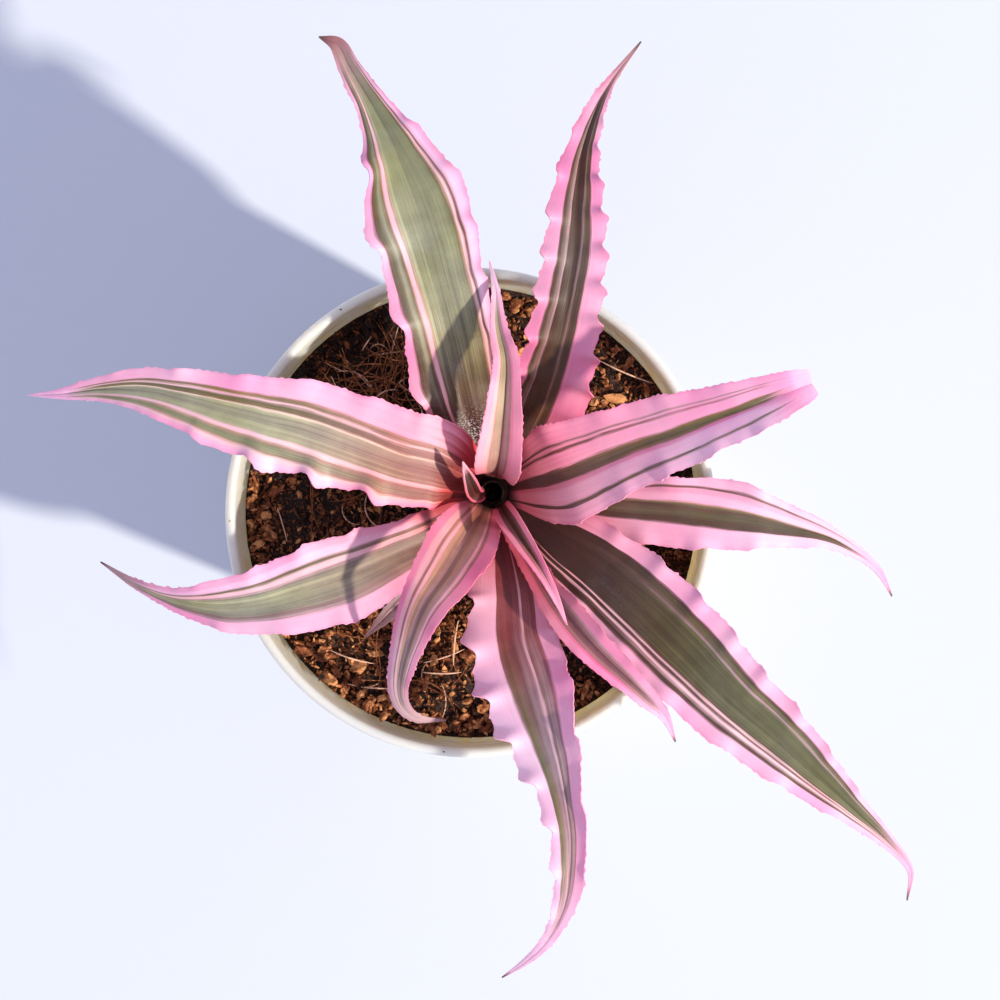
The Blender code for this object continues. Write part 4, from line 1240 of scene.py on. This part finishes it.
class EARTHSTAR_OT_stem(bpy.types.Operator):
    """Shapes the stem: ringed by the scars of old leaves, with the hollow of the heart at its tip, all painted
    nearly black as painted shade
    """
    bl_idname = "earth_star.stem"
    bl_label = "Stem"

    def execute(self, context):
        noise.seed_set(STEM_SEED)
        top = STEM_HIGH.z - 0.0002
        profile = [(0.003, STEM_LOW.z), (STEM_FOOT_RADIUS * MM - 0.0012, STEM_LOW.z)]
        for ring in range(1, STEM_RINGS + 1):
            share = ring / STEM_RINGS
            height = STEM_LOW.z + 0.0012 + (top - STEM_LOW.z - 0.0014) * share
            scar = 0.00016 * abs(math.sin(STEM_SCARS * math.pi * share))
            profile.append((min(stem_radius(height / MM), STEM_FOOT_RADIUS) * MM + scar, height))
        profile += arc((STEM_TOP_RADIUS * MM - 0.0003, top), 0.0003, 0, 180, 4)
        profile += [(0.0022, top - 0.004), (0.0017, top - 0.012), (0.0006, top - 0.016)]
        piece = turned(profile, 40)
        for vertex in piece.data.vertices:
            vertex.co += Vector(noise.noise_vector(vertex.co * 420.0)) * 0.00022
            vertex.co += Vector((STEM_X * MM, STEM_Y * MM, 0.0))
        # The stem is painted nearly black all over: painted shade, as it stands in the shaded hollow of the
        # heart
        material, m, shader = new_material("stem_painted_shade")
        given = {"Place": m.object_place(), "Tone": 0.35, "Grain": 500.0, "Dark": (0.004, 0.002, 0.002, 1.0),
                 "Middle": (0.012, 0.005, 0.004, 1.0), "Light": (0.035, 0.014, 0.011, 1.0)}
        finish_surface(m, shader, "Crumb", given, 0.3 * MM, 0.6, {"Specular IOR Level": 0.05})
        piece.data.materials.append(material)
        wrap_up(piece, 60.0)
        settle(piece, "stem_crown", "stem_red_brown", "stem")
        return {"FINISHED"}


class EARTHSTAR_OT_leaves(bpy.types.Operator):
    """Grows the leaves, each a waved and toothed blade with its own stripes and a silver underside"""
    bl_idname = "earth_star.leaves"
    bl_label = "Leaves"

    def execute(self, context):
        for name, leaf in LEAVES.items():
            build_blade(name, leaf, context.scene.earth_star_leaf)
        return {"FINISHED"}


class EARTHSTAR_OT_stage(bpy.types.Operator):
    """Sets the pale floor, the lamp from the lower right, the soft light all round and the camera above"""
    bl_idname = "earth_star.stage"
    bl_label = "Stage"

    def execute(self, context):
        look = context.scene.earth_star_stage
        deselect_all()
        bpy.ops.mesh.primitive_plane_add(size=FLOOR_SIZE, location=(0.0, 0.0, FLOOR_HEIGHT))
        floor = context.object
        floor.name = "floor"
        bpy.ops.object.transform_apply(location=True)
        material, m, shader = new_material("floor_paper")
        m.feed(shader, {"Base Color": opaque(look.floor_colour), "Roughness": 0.75, "Specular IOR Level": 0.2})
        floor.data.materials.append(material)

        world = bpy.data.worlds.new("soft light")
        world.use_nodes = True
        light = {"Color": opaque(look.fill_colour), "Strength": 1.0}
        Maker(world.node_tree).feed(world.node_tree.nodes["Background"], light)
        context.scene.world = world

        turn = (LAMP_PLACE - LAMP_AIM).to_track_quat("Z", "Y").to_euler()
        bpy.ops.object.light_add(type="AREA", location=LAMP_PLACE, rotation=turn)
        lamp = context.object
        lamp.name = "lamp"
        lamp.data.shape = "DISK"
        lamp.data.size = look.key_size
        lamp.data.energy = look.key_power
        lamp.data.color = look.key_colour

        bpy.ops.object.camera_add(location=(*CAMERA_PLACE, look.camera_height), rotation=(0.0, 0.0, 0.0))
        camera = context.object
        camera.name = "camera_above"
        camera.data.lens = look.lens
        camera.data.sensor_width = 36.0
        context.scene.camera = camera
        context.scene.view_settings.view_transform = "Standard"
        return {"FINISHED"}


class EARTHSTAR_PT_panel(bpy.types.Panel):
    """Lists the steps that build the plant, its pot and its stage"""
    bl_idname = "EARTHSTAR_PT_panel"
    bl_label = "Earth star"
    bl_space_type = "VIEW_3D"
    bl_region_type = "UI"
    bl_category = "Earth star"

    def draw(self, context):
        for operator in OPERATORS:
            self.layout.operator(operator.bl_idname)
        for group, settings in SETTINGS.items():
            box = self.layout.box()
            for name in settings.__annotations__:
                box.prop(getattr(context.scene, group), name)


OPERATORS = (EARTHSTAR_OT_pot, EARTHSTAR_OT_soil, EARTHSTAR_OT_chips, EARTHSTAR_OT_fibres, EARTHSTAR_OT_stem,
             EARTHSTAR_OT_leaves, EARTHSTAR_OT_stage)
SETTINGS = {"earth_star_pot": EarthStarPotLook, "earth_star_soil": EarthStarSoilLook,
            "earth_star_leaf": EarthStarLeafLook, "earth_star_stage": EarthStarStageLook}


def register():
    for settings in SETTINGS.values():
        bpy.utils.register_class(settings)
    for name, settings in SETTINGS.items():
        setattr(bpy.types.Scene, name, PointerProperty(type=settings))
    for operator in OPERATORS:
        bpy.utils.register_class(operator)
    bpy.utils.register_class(EARTHSTAR_PT_panel)


def unregister():
    bpy.utils.unregister_class(EARTHSTAR_PT_panel)
    for operator in reversed(OPERATORS):
        bpy.utils.unregister_class(operator)
    for name, settings in SETTINGS.items():
        delattr(bpy.types.Scene, name)
        bpy.utils.unregister_class(settings)


def main():
    register()
    for operator in OPERATORS:
        group, name = operator.bl_idname.split(".")
        getattr(getattr(bpy.ops, group), name)()


if __name__ == "__main__":
    main()
